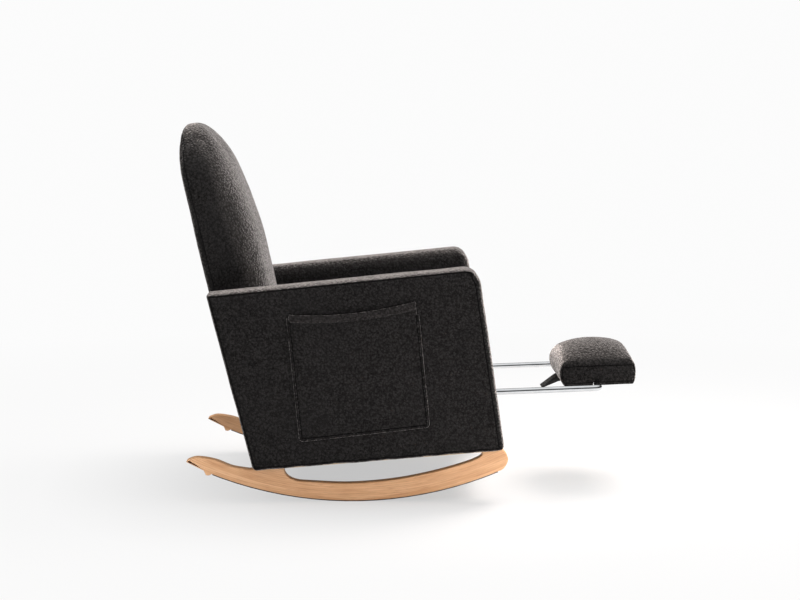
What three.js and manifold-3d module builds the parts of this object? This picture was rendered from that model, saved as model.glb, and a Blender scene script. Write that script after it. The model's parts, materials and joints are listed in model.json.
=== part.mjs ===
// An upholstered rocking armchair on two bent wooden rails, with a footrest that
// pulls out on a steel tube and turns over. Millimetres, +X forward, +Y to the
// sitter's left, +Z up. Pieces are drawn in the frame of the chair, where the arm
// tops are level; the whole chair is then leaned back as it stands at rest.

import * as THREE from "three";
import { mergeVertices } from "three/addons/utils/BufferGeometryUtils.js";
import Module from "manifold-3d";

const wasm = await Module();
wasm.setup();

// Driving dimensions: the whole chair
const leanAngle = 5.6;
const rockRadius = 970;
const bodyWidth = 700;
const armThickness = 115;
const armTop = 572;
const armFront = 378.7;
const frontRakeShare = 0.05;
const armCorner = 47;
const armRearBottomX = -246.2;
const armRearBottomZ = 109;
const rearRakeShare = 0.153;
const bodyBottom = 105.9;
const bottomSlopeShare = 0.018;
const smallCorner = 9;
const footCorner = 15;

// Fits, walls and cuts
const clearance = 0.3;
const fit = 1.5;
const overrun = 20;
const weld = 0.02;
const mergeGap = 0.001;
const coverWall = 12;
const boardWall = 22;
const coverRoll = 8;
const coverRollDepth = 18;
const rollSteps = 3;
const rollSegments = 5;

// Rocker rails
const railInset = 50;
const railThickness = 28;
const railEase = 2.5;
const facetAngle = 2.4;
const stripThickness = 2;
const stripWidth = 23;
const railRear = -354;
const railFront = 380;
const boltDiameter = 8;
const boltHead = 13;
const boltHeadHeight = 8;
const boltSink = 20;
const boltRear = -205;
const boltFront = 368;
const boltLap = 2;
// Points of the rail's outline, as x and height over the running arc: its nose, its waist
// from front to rear, and the top of its tail
const railNose = [[393, 2.6], [403.5, 10.6], [409, 22.3], [405.5, 38.5]];
const railSeatFront = [396, 344];
const railWaist = [
  [338, 57.6],
  [294, 53.9],
  [209, 52.9],
  [109, 50.5],
  [-3, 47.7],
  [-105, 45.9],
  [-142, 45.3],
  [-163, 54.8],
];
const railSeatRear = [-170, -258];
const railTail = [[-300, 42.6], [-342, 43.8], [-386, 31.7], [-410.5, 13.7]];
const tailTip = [-416.5, 5];
const noseSteps = 8;
const waistSteps = 18;
const tailSteps = 8;
const facetReach = 20;
const stopLength = 20;
const stopRoundShare = 0.33;
const stopDepth = 3;

// Side pockets
const pocketRear = -112.8;
const pocketFront = 210;
const pocketBottomRear = 182.2;
const pocketBottomFront = 186.6;
const pocketTopRear = 504.4;
const pocketTopFront = 506.5;
const pocketSag = 13;
const pocketCorner = 13;
const pocketSlit = 5.2;
const pocketCloth = 3;
const pocketHem = 20;
const hemExtra = 1.2;
const pipingWidth = 8;

// Seat
const seatBoardTop = 362;
const seatBoardWidth = 45;
const seatRearX = -229;
const seatFrontX = 374;
const deckThickness = 2;
const springWire = 4;
const springDrop = 2.2;
const springCount = 4;
const springBars = 14;
const springRoom = 25;
const clipWidth = 20;
const clipSheet = 1.6;
const hookMouth = 11.5;
const hookTip = 5.7;
const cushionRear = -144;
const cushionFront = 382;
const cushionHeight = 60;
const cushionCrown = 24;
const cushionSoftness = 26;
const footRoundShare = 0.33;
const cushionSteps = [10, 10, 5];
const apronBottom = 336;
const apronThickness = 10;

// Base
const stretcherHeight = 24;
const dustSheet = 2;

// Back, drawn in its own frame: u forward, v up along it
const backLean = 6.6;
const backFootX = -321;
const backFootZ = 565;
const backThickness = 147;
const backOverArm = 10;
const backHeight = 433;
const backDepthBelow = 200;
const backCornerShare = 0.755;
const backFrontRound = 70;
const backRearRound = 20;
const backTopRound = 127;
const backFootRound = 16;
const backSideFrontRound = 56;
const backSideRearRound = 22;
const sideRoundShares = [0.15, 0.8];
const backCrown = 12;
const backTaperShare = 0.39;
const backTaperPower = 1.5;
const backSteps = [6, 12, 16];
const armClear = 12;
const armClearRun = 46;
const backFoam = 38;
const backFrameRear = 19;
const backFrameRoom = 23;
const backFrameTop = 380;
const backFrameFoot = -231;
const backFrameCornerShare = 0.52;
const backFrameWall = 18;
const backTailRear = 23.8;
const backTailFront = 60;
const profileSteps = 6;
const webHeight = 50;
const webThickness = 1.5;
const webShares = [-0.25, 0.3, 0.65];
const rearPanelWall = 10;

// Footrest, drawn in its own frame: crossbar centre at zero, x along the tube
const barX = 670.7;
const barZ = 213.7;
const tubeDrop = 3.5;
const tubeDiameter = 16;
const tubeWall = 1.5;
const tubeInset = 22;
const tubeBend = 38;
const legLength = 527;
const guideFront = -421;
const guideRear = -505;
const guideHeight = 40;
const guideDepth = 38;
const guideCorner = 8;
const runningGap = 0.9;
const plugFlange = 3;
const plugDepth = 18;
const padLength = 193;
const padRoom = 126;
const padSide = 58;
const padCrown = 42;
const padDomeShare = 0.6;
const padShift = 7;
const padSoftness = 24;
const padSteps = [10, 10, 4];
const padRim = 8;
const padBoard = 10;
const padClipShare = 0.3;
const padClipWidth = 26;
const padClipSheet = 2;
const padClipReach = 26;
const tabWidth = 50;
const tabLength = 50;
const tabThickness = 3;
const tabDrop = 28;

// Values worked out from the driving dimensions
const radians = Math.PI / 180;
const armInside = bodyWidth / 2 - armThickness;
const armMiddle = bodyWidth / 2 - armThickness / 2;
const innerWidth = 2 * (armInside - clearance);
const railPlace = bodyWidth / 2 - railInset;
const rakeStretch = Math.hypot(1, rearRakeShare);
const frontStretch = Math.hypot(1, frontRakeShare);
const slopeStretch = Math.hypot(1, bottomSlopeShare);
const arcCentreX = rockRadius * Math.sin(leanAngle * radians);
const arcCentreZ = rockRadius * Math.cos(leanAngle * radians);
const seatBoardBottom = seatBoardTop - boardWall;
const springSpread = (innerWidth - 2 * seatBoardWidth) / springCount;
const springWidth = springSpread - springRoom;
const backHalfWidth = armInside + backOverArm;
const backTopCorner = backHalfWidth * backCornerShare;
const backFrameHalf = armInside - backFrameRoom;
const backFrameCorner = backFrameHalf * backFrameCornerShare;
const tubeRadius = tubeDiameter / 2;
const tubeHalfSpan = armInside - tubeInset;
const guideInside = armInside - guideDepth;
const padWidth = 2 * tubeHalfSpan - padRoom;
const padClipPlace = padWidth * padClipShare;

// Materials
const cloth = { color: 0x4a4745, roughness: 0.95, metalness: 0 };
const lining = { color: 0x1d1d1f, roughness: 0.9, metalness: 0 };
const paleWood = { color: 0xd8ae7e, roughness: 0.55, metalness: 0 };
const frameWood = { color: 0xb99a6b, roughness: 0.8, metalness: 0 };
const chrome = { color: 0xcfd2d6, roughness: 0.18, metalness: 1 };
const zinc = { color: 0xa9adb2, roughness: 0.4, metalness: 1 };
const plastic = { color: 0x17181a, roughness: 0.5, metalness: 0 };
const rubber = { color: 0x232220, roughness: 0.85, metalness: 0 };

// Solids: joining, cutting, and plain forms

function solidOf(geometry) {
  const bare = geometry.index ? geometry.toNonIndexed() : geometry.clone();
  bare.deleteAttribute("normal");
  bare.deleteAttribute("uv");
  const merged = mergeVertices(bare, mergeGap);
  const mesh = new wasm.Mesh({
    numProp: 3,
    vertProperties: new Float32Array(merged.attributes.position.array),
    triVerts: new Uint32Array(merged.index.array),
  });
  return new wasm.Manifold(mesh);
}

function geometryOf(solid) {
  const mesh = solid.getMesh();
  const geometry = new THREE.BufferGeometry();
  geometry.setAttribute("position", new THREE.BufferAttribute(mesh.vertProperties, 3));
  geometry.setIndex(new THREE.BufferAttribute(mesh.triVerts, 1));
  const flat = geometry.toNonIndexed();
  flat.computeVertexNormals();
  return flat;
}

function cut(geometry, ...tools) {
  return geometryOf(tools.reduce((solid, tool) => solid.subtract(solidOf(tool)), solidOf(geometry)));
}

function join(geometry, ...others) {
  return geometryOf(others.reduce((solid, other) => solid.add(solidOf(other)), solidOf(geometry)));
}

function meet(geometry, other) {
  return geometryOf(solidOf(geometry).intersect(solidOf(other)));
}

// A box between two corners.
function box(x0, x1, y0, y1, z0, z1) {
  const form = new THREE.BoxGeometry(x1 - x0, y1 - y0, z1 - z0);
  return form.translate((x0 + x1) / 2, (y0 + y1) / 2, (z0 + z1) / 2);
}

// A shape's points without those that repeat the one before.
function distinct(path, steps) {
  const points = path.getPoints(steps);
  return points.filter((point, k) => point.distanceTo(points.at(k - 1)) > weld);
}

function polygon(shape, steps) {
  const outline = new THREE.Shape(distinct(shape, steps));
  outline.holes = shape.holes.map((hole) => new THREE.Path(distinct(hole, steps)));
  return outline;
}

// A shape drawn in x and z, given thickness across y.
function slab(shape, y0, y1, options = {}) {
  const depth = Math.abs(y1 - y0);
  const bevel = options.bevelThickness ?? 0;
  const form = new THREE.ExtrudeGeometry(polygon(shape, options.curveSegments ?? 8), {
    ...options,
    depth: depth - 2 * bevel,
    bevelEnabled: bevel > 0,
  });
  return form.rotateX(Math.PI / 2).translate(0, Math.max(y0, y1) - bevel, 0);
}

// A slab whose edges roll over: its outline is drawn in along a quarter ellipse at both faces.
function rolledSlab(outlineAt, middle, half, roll, rollDepth) {
  const rings = [];
  for (let k = -rollSteps; k <= rollSteps; k += 1) {
    const turn = ((Math.abs(k) / rollSteps) * Math.PI) / 2;
    const y = Math.sign(k) * (half - rollDepth * (1 - Math.sin(turn)));
    if (k === 0) continue;
    rings.push({ y: middle + y, points: distinct(outlineAt(roll * (1 - Math.cos(turn))), rollSegments) });
  }
  const flat = distinct(outlineAt(0), rollSegments);
  const flank = half - rollDepth;
  rings.splice(rollSteps, 0, { y: middle - flank, points: flat }, { y: middle + flank, points: flat });
  return loft(rings);
}

// A closed solid through rings of as many points each, with flat ends.
function loft(rings) {
  const count = rings[0].points.length;
  const vertices = rings.flatMap((ring) => ring.points.flatMap((point) => [point.x, ring.y, point.y]));
  const faces = [];
  for (let k = 0; k < rings.length - 1; k += 1) {
    for (let i = 0; i < count; i += 1) {
      const a = k * count + i;
      const b = k * count + ((i + 1) % count);
      faces.push(a, b + count, b, a, a + count, b + count);
    }
  }
  const last = (rings.length - 1) * count;
  for (const [a, b, c] of THREE.ShapeUtils.triangulateShape(rings[0].points, [])) faces.push(a, b, c);
  for (const [a, b, c] of THREE.ShapeUtils.triangulateShape(rings.at(-1).points, [])) {
    faces.push(last + a, last + c, last + b);
  }
  const form = new THREE.BufferGeometry();
  form.setAttribute("position", new THREE.Float32BufferAttribute(vertices, 3));
  form.setIndex(faces);
  form.computeVertexNormals();
  return form;
}

// An upright cylinder about the z axis.
function post(radius, z0, z1, sides = 16) {
  const form = new THREE.CylinderGeometry(radius, radius, z1 - z0, sides);
  return form.rotateX(Math.PI / 2).translate(0, 0, (z0 + z1) / 2);
}

// A path of straight stretches and round bends whose stations are the ends of its steps.
class StationPath extends THREE.Curve {
  constructor(stations) {
    super();
    this.stations = stations;
  }

  getPoint(t, target = new THREE.Vector3()) {
    const place = t * (this.stations.length - 1);
    const index = Math.min(Math.floor(place), this.stations.length - 2);
    return target.lerpVectors(this.stations[index], this.stations[index + 1], place - index);
  }

  getUtoTmapping(u) {
    return u;
  }

  getTangent(t, target = new THREE.Vector3()) {
    const index = Math.round(t * (this.stations.length - 1));
    const here = this.stations[index];
    const before = this.stations[Math.max(index - 1, 0)];
    const after = this.stations[Math.min(index + 1, this.stations.length - 1)];
    const into = here.clone().sub(before).normalize();
    const away = after.clone().sub(here).normalize();
    return target.copy(into).add(away).normalize();
  }
}

// A round bar or tube along stations.
function rod(stations, outer, inner, sides) {
  const section = new THREE.Shape();
  section.absarc(0, 0, outer, 0, 2 * Math.PI);
  if (inner > 0) {
    const bore = new THREE.Path();
    bore.absarc(0, 0, inner, 0, 2 * Math.PI, true);
    section.holes.push(bore);
  }
  return new THREE.ExtrudeGeometry(section, {
    steps: stations.length - 1,
    curveSegments: sides / 2,
    extrudePath: new StationPath(stations),
  });
}

// Stations of a bend in the plane of x and y, from one angle to another.
function bend(cx, cy, radius, from, to, steps) {
  return Array.from({ length: steps + 1 }, (_, k) => {
    const angle = (from + ((to - from) * k) / steps) * radians;
    return new THREE.Vector3(cx + radius * Math.cos(angle), cy + radius * Math.sin(angle), 0);
  });
}

// A block with soft edges about the origin. Its points crowd toward the edges, where the
// surface turns. One rule gives the radii of the edges along x, y and z, and another then
// moves each point to draw the sides in or raise a crown.
function softBlock(size, radiiAt, steps, rule) {
  const form = new THREE.BoxGeometry(2, 2, 2, ...steps);
  const place = form.attributes.position;
  const half = size.map((length) => length / 2);
  for (let k = 0; k < place.count; k += 1) {
    const unit = [place.getX(k), place.getY(k), place.getZ(k)];
    const spread = unit.map((value, axis) => Math.sin((value * Math.PI) / 2) * half[axis]);
    const reach = radiiAt(...unit);
    const core = spread.map((value, axis) => {
      const limit = half[axis] - reach[axis];
      return THREE.MathUtils.clamp(value, -limit, limit);
    });
    const away = spread.map((value, axis) => (value - core[axis]) / reach[axis]);
    const length = Math.hypot(...away);
    const point = core.map((value, axis) => value + (away[axis] / length) * reach[axis]);
    const moved = rule(...point);
    place.setXYZ(k, ...moved);
  }
  return form;
}

// The dome of a filled cushion: one at the middle, nothing at the edges.
function dome(x, y, halfX, halfY) {
  return (1 - (x / halfX) ** 2) * (1 - (y / halfY) ** 2);
}

const chair = new THREE.Group();
chair.rotation.y = -leanAngle * radians;
const back = new THREE.Group();
back.position.set(backFootX, 0, backFootZ);
back.rotation.y = -backLean * radians;
const footrest = new THREE.Group();
footrest.position.set(barX, 0, barZ);
footrest.rotation.y = tubeDrop * radians;
chair.add(back, footrest);

function piece(group, name, geometry, finish) {
  const mesh = new THREE.Mesh(geometry, new THREE.MeshStandardMaterial(finish));
  mesh.name = name;
  group.add(mesh);
}

// Lines of the side view

function frontX(z, inset) {
  return armFront + (armTop - z) * frontRakeShare - inset * frontStretch;
}

function rearX(z, inset) {
  return armRearBottomX + (armRearBottomZ - z) * rearRakeShare + inset * rakeStretch;
}

function bottomZ(x, inset) {
  return bodyBottom - x * bottomSlopeShare + inset * slopeStretch;
}

function corner(shape, before, at, after, radius) {
  const into = new THREE.Vector2(...before).sub(new THREE.Vector2(...at)).setLength(radius);
  const away = new THREE.Vector2(...after).sub(new THREE.Vector2(...at)).setLength(radius);
  shape.lineTo(at[0] + into.x, at[1] + into.y);
  shape.quadraticCurveTo(at[0], at[1], at[0] + away.x, at[1] + away.y);
}

// Runs a shape on through points by a smooth curve of so many steps.
function flow(shape, points, steps) {
  const curve = new THREE.SplineCurve([shape.currentPoint.clone(), ...points]);
  curve.getPoints(steps).slice(1).forEach((point) => shape.lineTo(point.x, point.y));
}

// The outline of an arm, drawn in by an inset all round and by another one at the foot.
function armShape(inset, footInset) {
  const top = armTop - inset;
  const frontEdge = frontX(bodyBottom, inset);
  const frontLow = bottomZ(frontEdge, footInset);
  const rearLow = bottomZ(armRearBottomX, footInset);
  const frontFoot = [frontX(frontLow, inset), frontLow];
  const rearFoot = [rearX(rearLow, inset), rearLow];
  const rearTop = [rearX(top, inset), top];
  const frontTop = [frontX(top, inset), top];
  const shape = new THREE.Shape();
  shape.moveTo((frontFoot[0] + rearFoot[0]) / 2, (frontLow + rearLow) / 2);
  corner(shape, rearFoot, frontFoot, frontTop, footCorner);
  corner(shape, frontFoot, frontTop, rearTop, Math.max(armCorner - inset, smallCorner));
  corner(shape, frontTop, rearTop, rearFoot, smallCorner);
  corner(shape, rearTop, rearFoot, frontFoot, footCorner);
  return shape;
}

// Rocker rails, their strips and bolts

function arcPoint(angle, radius) {
  const x = arcCentreX + radius * Math.sin(angle * radians);
  const z = arcCentreZ - radius * Math.cos(angle * radians);
  return new THREE.Vector2(x, z);
}

function arcAngle(x) {
  return Math.asin((x - arcCentreX) / rockRadius) / radians;
}

function arcHeight(x) {
  return arcPoint(arcAngle(x), rockRadius).y;
}

// Points of the running arc from the rear to the front, with one flat square on the floor.
function runningArc(radius) {
  const points = [arcPoint(arcAngle(railRear), radius)];
  for (let k = -facetReach; k < facetReach; k += 1) {
    const angle = (k + 0.5) * facetAngle - leanAngle;
    if (angle > arcAngle(railRear) && angle < arcAngle(railFront)) points.push(arcPoint(angle, radius));
  }
  points.push(arcPoint(arcAngle(railFront), radius));
  return points;
}

// The side outline of a rail: running arc, nose, two seats with the waist between, tail and stop.
function railShape() {
  const radius = rockRadius - stripThickness - clearance;
  const under = runningArc(radius);
  const points = (line) => line.map(([x, height]) => new THREE.Vector2(x, arcHeight(x) + height));
  const seatPoint = (x) => new THREE.Vector2(x, bottomZ(x, 0) - clearance);
  const stopRear = railRear - stopLength;
  const shape = new THREE.Shape();
  shape.moveTo(under[0].x, under[0].y);
  under.slice(1).forEach((point) => shape.lineTo(point.x, point.y));
  flow(shape, [...points(railNose), seatPoint(railSeatFront[0])], noseSteps);
  shape.lineTo(railSeatFront[1], seatPoint(railSeatFront[1]).y);
  flow(shape, [...points(railWaist), seatPoint(railSeatRear[0])], waistSteps);
  shape.lineTo(railSeatRear[1], seatPoint(railSeatRear[1]).y);
  flow(shape, points([...railTail, tailTip]), tailSteps);
  shape.lineTo(stopRear, arcPoint(arcAngle(stopRear), radius).y);
  const stopRound = stopLength * stopRoundShare;
  const stopFoot = under[0].y - stopDepth;
  shape.quadraticCurveTo(stopRear + stopRound, stopFoot, railRear - stopRound, stopFoot);
  return shape;
}

function makeRails() {
  const seatTilt = Math.atan(bottomSlopeShare);
  for (const [side, sign] of [["right", -1], ["left", 1]]) {
    const middle = sign * railPlace;
    const rail = slab(railShape(), middle - railThickness / 2, middle + railThickness / 2, {
      curveSegments: 5,
      bevelThickness: railEase,
      bevelSize: railEase,
      bevelOffset: -railEase,
      bevelSegments: 1,
    });
    const holes = [boltRear, boltFront].map((x) => boltHole(x, middle, seatTilt));
    piece(chair, `rocker_rail_${side}`, cut(rail, ...holes), paleWood);

    const strip = new THREE.Shape();
    const outer = runningArc(rockRadius);
    const inner = runningArc(rockRadius - stripThickness);
    strip.moveTo(outer[0].x, outer[0].y);
    [...outer.slice(1), ...inner.reverse()].forEach((point) => strip.lineTo(point.x, point.y));
    const half = stripWidth / 2;
    piece(chair, `rail_strip_${side}`, slab(strip, middle - half, middle + half), rubber);

    for (const [end, x] of [["rear", boltRear], ["front", boltFront]]) {
      piece(chair, `rail_bolt_${end}_${side}`, place(boltForm(x), x, middle, seatTilt), zinc);
    }
  }
}

// Heights of the rail's foot, of a bolt's head seat and of its tip, along its own axis.
function boltSpan(x) {
  const foot = arcPoint(arcAngle(x), rockRadius - stripThickness - clearance).y;
  return { foot: foot - bottomZ(x, 0), seat: foot + boltSink - bottomZ(x, 0), tip: boardWall - fit };
}

// Turns a form drawn about an upright axis at the body's bottom line to its place there.
function place(form, x, y, tilt) {
  return form.rotateY(tilt).translate(x, y, bottomZ(x, 0));
}

function boltForm(x) {
  const span = boltSpan(x);
  const head = post(boltHead / 2, span.seat - boltHeadHeight, span.seat, 12);
  return join(head, post(boltDiameter / 2, span.seat - boltLap, span.tip, 12));
}

function boltHole(x, y, tilt) {
  const span = boltSpan(x);
  const sink = post(boltHead / 2 + fit, span.foot - overrun, span.seat + clearance, 16);
  const bore = post(boltDiameter / 2 + 2 * clearance, span.seat, boardWall + overrun, 16);
  return place(join(sink, bore), x, y, tilt);
}

// Arms: a ring of boards inside a padded cover, and a pocket outside

function makeArms() {
  const seatTilt = Math.atan(bottomSlopeShare);
  for (const [side, sign] of [["right", -1], ["left", 1]]) {
    const middle = sign * armMiddle;
    const half = armThickness / 2;
    const frame = armShape(coverWall + fit, clearance);
    frame.holes.push(armShape(coverWall + fit + boardWall, boardWall));
    const frameHalf = half - coverWall - fit;
    const ring = slab(frame, middle - frameHalf, middle + frameHalf, { curveSegments: 3 });
    const holes = [boltRear, boltFront].map((x) => boltHole(x, sign * railPlace, seatTilt));
    piece(chair, `arm_frame_${side}`, cut(ring, ...holes), frameWood);

    const outer = rolledSlab((inset) => armShape(inset, inset), middle, half, coverRoll, coverRollDepth);
    const hollowHalf = half - coverWall;
    const inside = armShape(coverWall, -overrun);
    const hollow = slab(inside, middle - hollowHalf, middle + hollowHalf, { curveSegments: 3 });
    piece(chair, `arm_cover_${side}`, cut(outer, hollow), cloth);
  }
}

// The outline of a pocket, widened all round; its mouth sags.
function pocketShape(widen, drop) {
  const rear = pocketRear - widen;
  const front = pocketFront + widen;
  const lowRear = pocketBottomRear - widen;
  const lowFront = pocketBottomFront - widen;
  const radius = pocketCorner + widen;
  const shape = new THREE.Shape();
  shape.moveTo(rear, pocketTopRear - drop);
  shape.lineTo(rear, lowRear + radius);
  shape.quadraticCurveTo(rear, lowRear, rear + radius, lowRear);
  shape.lineTo(front - radius, lowFront);
  shape.quadraticCurveTo(front, lowFront, front, lowFront + radius);
  shape.lineTo(front, pocketTopFront - drop);
  const sag = (pocketTopRear + pocketTopFront) / 2 - drop - 2 * pocketSag;
  shape.quadraticCurveTo((rear + front) / 2, sag, rear, pocketTopRear - drop);
  return shape;
}

function makePockets() {
  for (const [side, sign] of [["right", -1], ["left", 1]]) {
    const wall = sign * (bodyWidth / 2 + clearance);
    const inner = wall + sign * pocketSlit;
    const outer = inner + sign * pocketCloth;
    const options = { curveSegments: 5 };
    const panel = slab(pocketShape(-clearance, 0), inner, outer, options);
    const hem = slab(pocketShape(-clearance, 0), inner, outer + sign * hemExtra, options);
    const below = slab(pocketShape(overrun, pocketHem), inner - overrun, outer + overrun, options);
    piece(chair, `side_pocket_${side}`, join(panel, cut(hem, below)), cloth);

    const rim = slab(pocketShape(pipingWidth, -overrun), wall, outer + sign * hemExtra, options);
    const mouth = slab(pocketShape(0, -2 * overrun), inner - overrun, outer + overrun, options);
    const above = slab(pocketMouth(), inner - overrun, outer + overrun, options);
    piece(chair, `pocket_piping_${side}`, cut(rim, mouth, above), cloth);
  }
}

// Everything above the mouth of a pocket.
function pocketMouth() {
  const rear = pocketRear - 2 * overrun;
  const front = pocketFront + 2 * overrun;
  const shape = new THREE.Shape();
  shape.moveTo(rear, pocketTopRear);
  shape.lineTo(front, pocketTopFront);
  shape.lineTo(front, pocketTopFront + 3 * overrun);
  shape.lineTo(rear, pocketTopRear + 3 * overrun);
  return shape;
}

// Seat: a tray of boards, springs on clips, deck, cushion and front apron

function makeSeat() {
  const half = innerWidth / 2;
  const frontBoard = seatFrontX - seatBoardWidth;
  const rearBoard = seatRearX + seatBoardWidth;
  const low = seatBoardBottom;
  const high = seatBoardTop;
  piece(chair, "seat_rail_front", box(frontBoard, seatFrontX, -half, half, low, high), frameWood);
  piece(chair, "seat_rail_rear", box(seatRearX, rearBoard, -half, half, low, high), frameWood);
  for (const [side, sign] of [["right", -1], ["left", 1]]) {
    const edges = [sign * half, sign * (half - seatBoardWidth)].sort((a, b) => a - b);
    const board = box(rearBoard + clearance, frontBoard - clearance, ...edges, low, high);
    piece(chair, `seat_rail_${side}`, board, frameWood);
  }
  const springZ = high - springDrop - springWire / 2;
  const hookRadius = springWire / 2 + clearance;
  const from = rearBoard + 2 * clearance + clipSheet + hookRadius;
  const to = frontBoard - 2 * clearance - clipSheet - hookRadius;
  for (let k = 0; k < springCount; k += 1) {
    const y = (k - (springCount - 1) / 2) * springSpread;
    const side = y - clipWidth / 2;
    piece(chair, `seat_spring_${k + 1}`, springForm(from, to).translate(0, y, springZ), zinc);
    piece(chair, `spring_clip_rear_${k + 1}`, clipForm(1).translate(from, side, springZ), zinc);
    piece(chair, `spring_clip_front_${k + 1}`, clipForm(-1).translate(to, side, springZ), zinc);
  }
  const deck = box(seatRearX, seatFrontX, -half, half, high + clearance, high + clearance + deckThickness);
  piece(chair, "seat_deck", deck, lining);
  makeSeatCushion(high + 2 * clearance + deckThickness);
  const apronFront = seatFrontX + apronThickness;
  const apronTop = high + deckThickness;
  const apron = box(seatFrontX + clearance, apronFront, -half, half, apronBottom, apronTop);
  piece(chair, "seat_apron", apron, cloth);
}

// A serpentine spring: bars across the seat, joined by half rounds.
function springForm(from, to) {
  const pitch = (to - from) / (springBars - 1);
  const reach = springWidth / 2 - pitch / 2;
  const stations = [new THREE.Vector3(from, -springWidth / 2, 0)];
  for (let k = 0; k < springBars - 1; k += 1) {
    const sign = k % 2 ? -1 : 1;
    const x = from + (k + 0.5) * pitch;
    stations.push(...bend(x, sign * reach, pitch / 2, 180, 180 - sign * 180, 4));
  }
  const lastSign = springBars % 2 ? -1 : 1;
  stations.push(new THREE.Vector3(to, -lastSign * springWidth / 2, 0));
  return rod(stations, springWire / 2, 0, 6);
}

// A clip on the board that hooks round the end bar of a spring.
function clipForm(sign) {
  const inner = springWire / 2 + clearance;
  const outer = inner + clipSheet;
  const shape = new THREE.Shape();
  shape.moveTo(-sign * outer, -boardWall / 2);
  shape.lineTo(-sign * inner, -boardWall / 2);
  shape.lineTo(-sign * inner, 0);
  const heel = sign > 0 ? Math.PI : 0;
  const turnTo = (angle) => (sign > 0 ? angle * radians : Math.PI - angle * radians);
  shape.absarc(0, 0, inner, heel, turnTo(hookMouth), sign > 0);
  shape.lineTo(sign * outer, 0);
  shape.absarc(0, 0, outer, turnTo(hookTip), heel, sign < 0);
  return slab(shape, -clipWidth / 2, clipWidth / 2, { curveSegments: 4 });
}

// The loose seat cushion, crowned on top.
function makeSeatCushion(foot) {
  const length = cushionFront - cushionRear;
  const width = innerWidth - 2 * fit;
  const round = cushionSoftness;
  const rule = (x, y, z) => {
    const lift = cushionCrown * dome(x, y, length / 2, width / 2) * Math.max(z / cushionHeight + 0.5, 0);
    return [x, y, z + lift];
  };
  const radiiAt = (x, y, z) => [round, round, z < 0 ? round * footRoundShare : round];
  const form = softBlock([length, width, cushionHeight], radiiAt, cushionSteps, rule);
  const middle = (cushionFront + cushionRear) / 2;
  piece(chair, "seat_cushion", form.translate(middle, 0, foot + cushionHeight / 2), cloth);
}

// Base: two stretchers between the arms with a dust sheet under them, and the rear panel

function makeBase() {
  const half = innerWidth / 2;
  const tilt = Math.atan(bottomSlopeShare);
  const rearFoot = rearX(bodyBottom, rearPanelWall + clearance) + fit;
  const low = dustSheet + clearance;
  for (const [end, x] of [["rear", rearFoot], ["front", seatFrontX - boardWall]]) {
    const form = box(0, boardWall, -half, half, low, low + stretcherHeight);
    piece(chair, `stretcher_${end}`, place(form, x, 0, tilt), frameWood);
  }
  const sheet = box(0, seatFrontX - rearFoot, -half, half, 0, dustSheet);
  piece(chair, "dust_cover", place(sheet, rearFoot, 0, tilt), lining);

  const foot = bottomZ(armRearBottomX, 0) + clearance;
  const panel = new THREE.Shape();
  panel.moveTo(rearX(foot, 0), foot);
  panel.lineTo(rearX(foot, rearPanelWall), foot);
  panel.lineTo(rearX(seatBoardTop, rearPanelWall), seatBoardTop);
  panel.lineTo(rearX(seatBoardTop, 0), seatBoardTop);
  piece(chair, "rear_panel", slab(panel, -half, half), cloth);
}

// Back: a ladder frame with webbing, inside a padded shell that is open at the foot

// The front outline of the frame, with round shoulders, widened all round.
function backFrameShape(widen, foot) {
  const half = backFrameHalf + widen;
  const top = backFrameTop + widen;
  const radius = backFrameCorner + widen;
  const shape = new THREE.Shape();
  shape.moveTo(-half, foot);
  shape.lineTo(half, foot);
  shape.lineTo(half, top - radius);
  shape.absarc(half - radius, top - radius, radius, 0, Math.PI / 2);
  shape.absarc(radius - half, top - radius, radius, Math.PI / 2, Math.PI);
  return shape;
}

// How far the front of the back stands off its rear plane, at a height along it.
function backDepth(up) {
  const rise = THREE.MathUtils.clamp(up / backHeight, 0, 1);
  return backThickness * (1 - backTaperShare * rise ** backTaperPower);
}

// A side outline between two stand-offs, one from the rear plane and one from the front.
function backProfile(rear, front, low, high) {
  const shape = new THREE.Shape();
  shape.moveTo(rear, low);
  for (let k = 0; k <= profileSteps; k += 1) {
    const up = THREE.MathUtils.lerp(low, high, k / profileSteps);
    shape.lineTo(backDepth(up) - front, up);
  }
  shape.lineTo(rear, high);
  return shape;
}

function makeBack() {
  const wall = backFrameWall;
  const half = backFrameHalf;
  const top = backFrameTop;
  const front = backFoam + webThickness + fit + clearance;
  const ledge = -backDepthBelow;
  const deep = slab(backProfile(backFrameRear, front, ledge, top), -half, half);
  const tails = box(backTailRear, backTailFront, -half, half, backFrameFoot, ledge + wall);
  const outline = plateX(backFrameShape(0, backFrameFoot), 0, backThickness);
  const inside = plateX(backFrameShape(-wall, backFrameFoot - overrun), -overrun, backThickness + overrun);
  const rails = [ledge, -wall / 2].map((z) => {
    return box(-2 * overrun, backThickness + 2 * overrun, -half, half, z, z + wall);
  });
  const frame = cut(meet(join(deep, tails), outline), cut(inside, ...rails));
  piece(back, "back_frame", frame, frameWood);

  const webReach = half - fit;
  webShares.forEach((share, k) => {
    const z = share * top;
    const rear = (up) => backDepth(up) - front + clearance;
    const strap = new THREE.Shape();
    strap.moveTo(rear(z - webHeight / 2), z - webHeight / 2);
    strap.lineTo(rear(z - webHeight / 2) + webThickness, z - webHeight / 2);
    strap.lineTo(rear(z + webHeight / 2) + webThickness, z + webHeight / 2);
    strap.lineTo(rear(z + webHeight / 2), z + webHeight / 2);
    piece(back, `back_webbing_${k + 1}`, slab(strap, -webReach, webReach), lining);
  });

  const room = backProfile(backFrameRear - fit, backFoam, ledge - overrun, top + fit);
  const hollow = slab(room, -half - fit, half + fit);
  const round = plateX(backFrameShape(fit, ledge - 2 * overrun), 0, backThickness);
  piece(back, "back_cushion", cut(backForm(), meet(hollow, round)), cloth);
}

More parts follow.
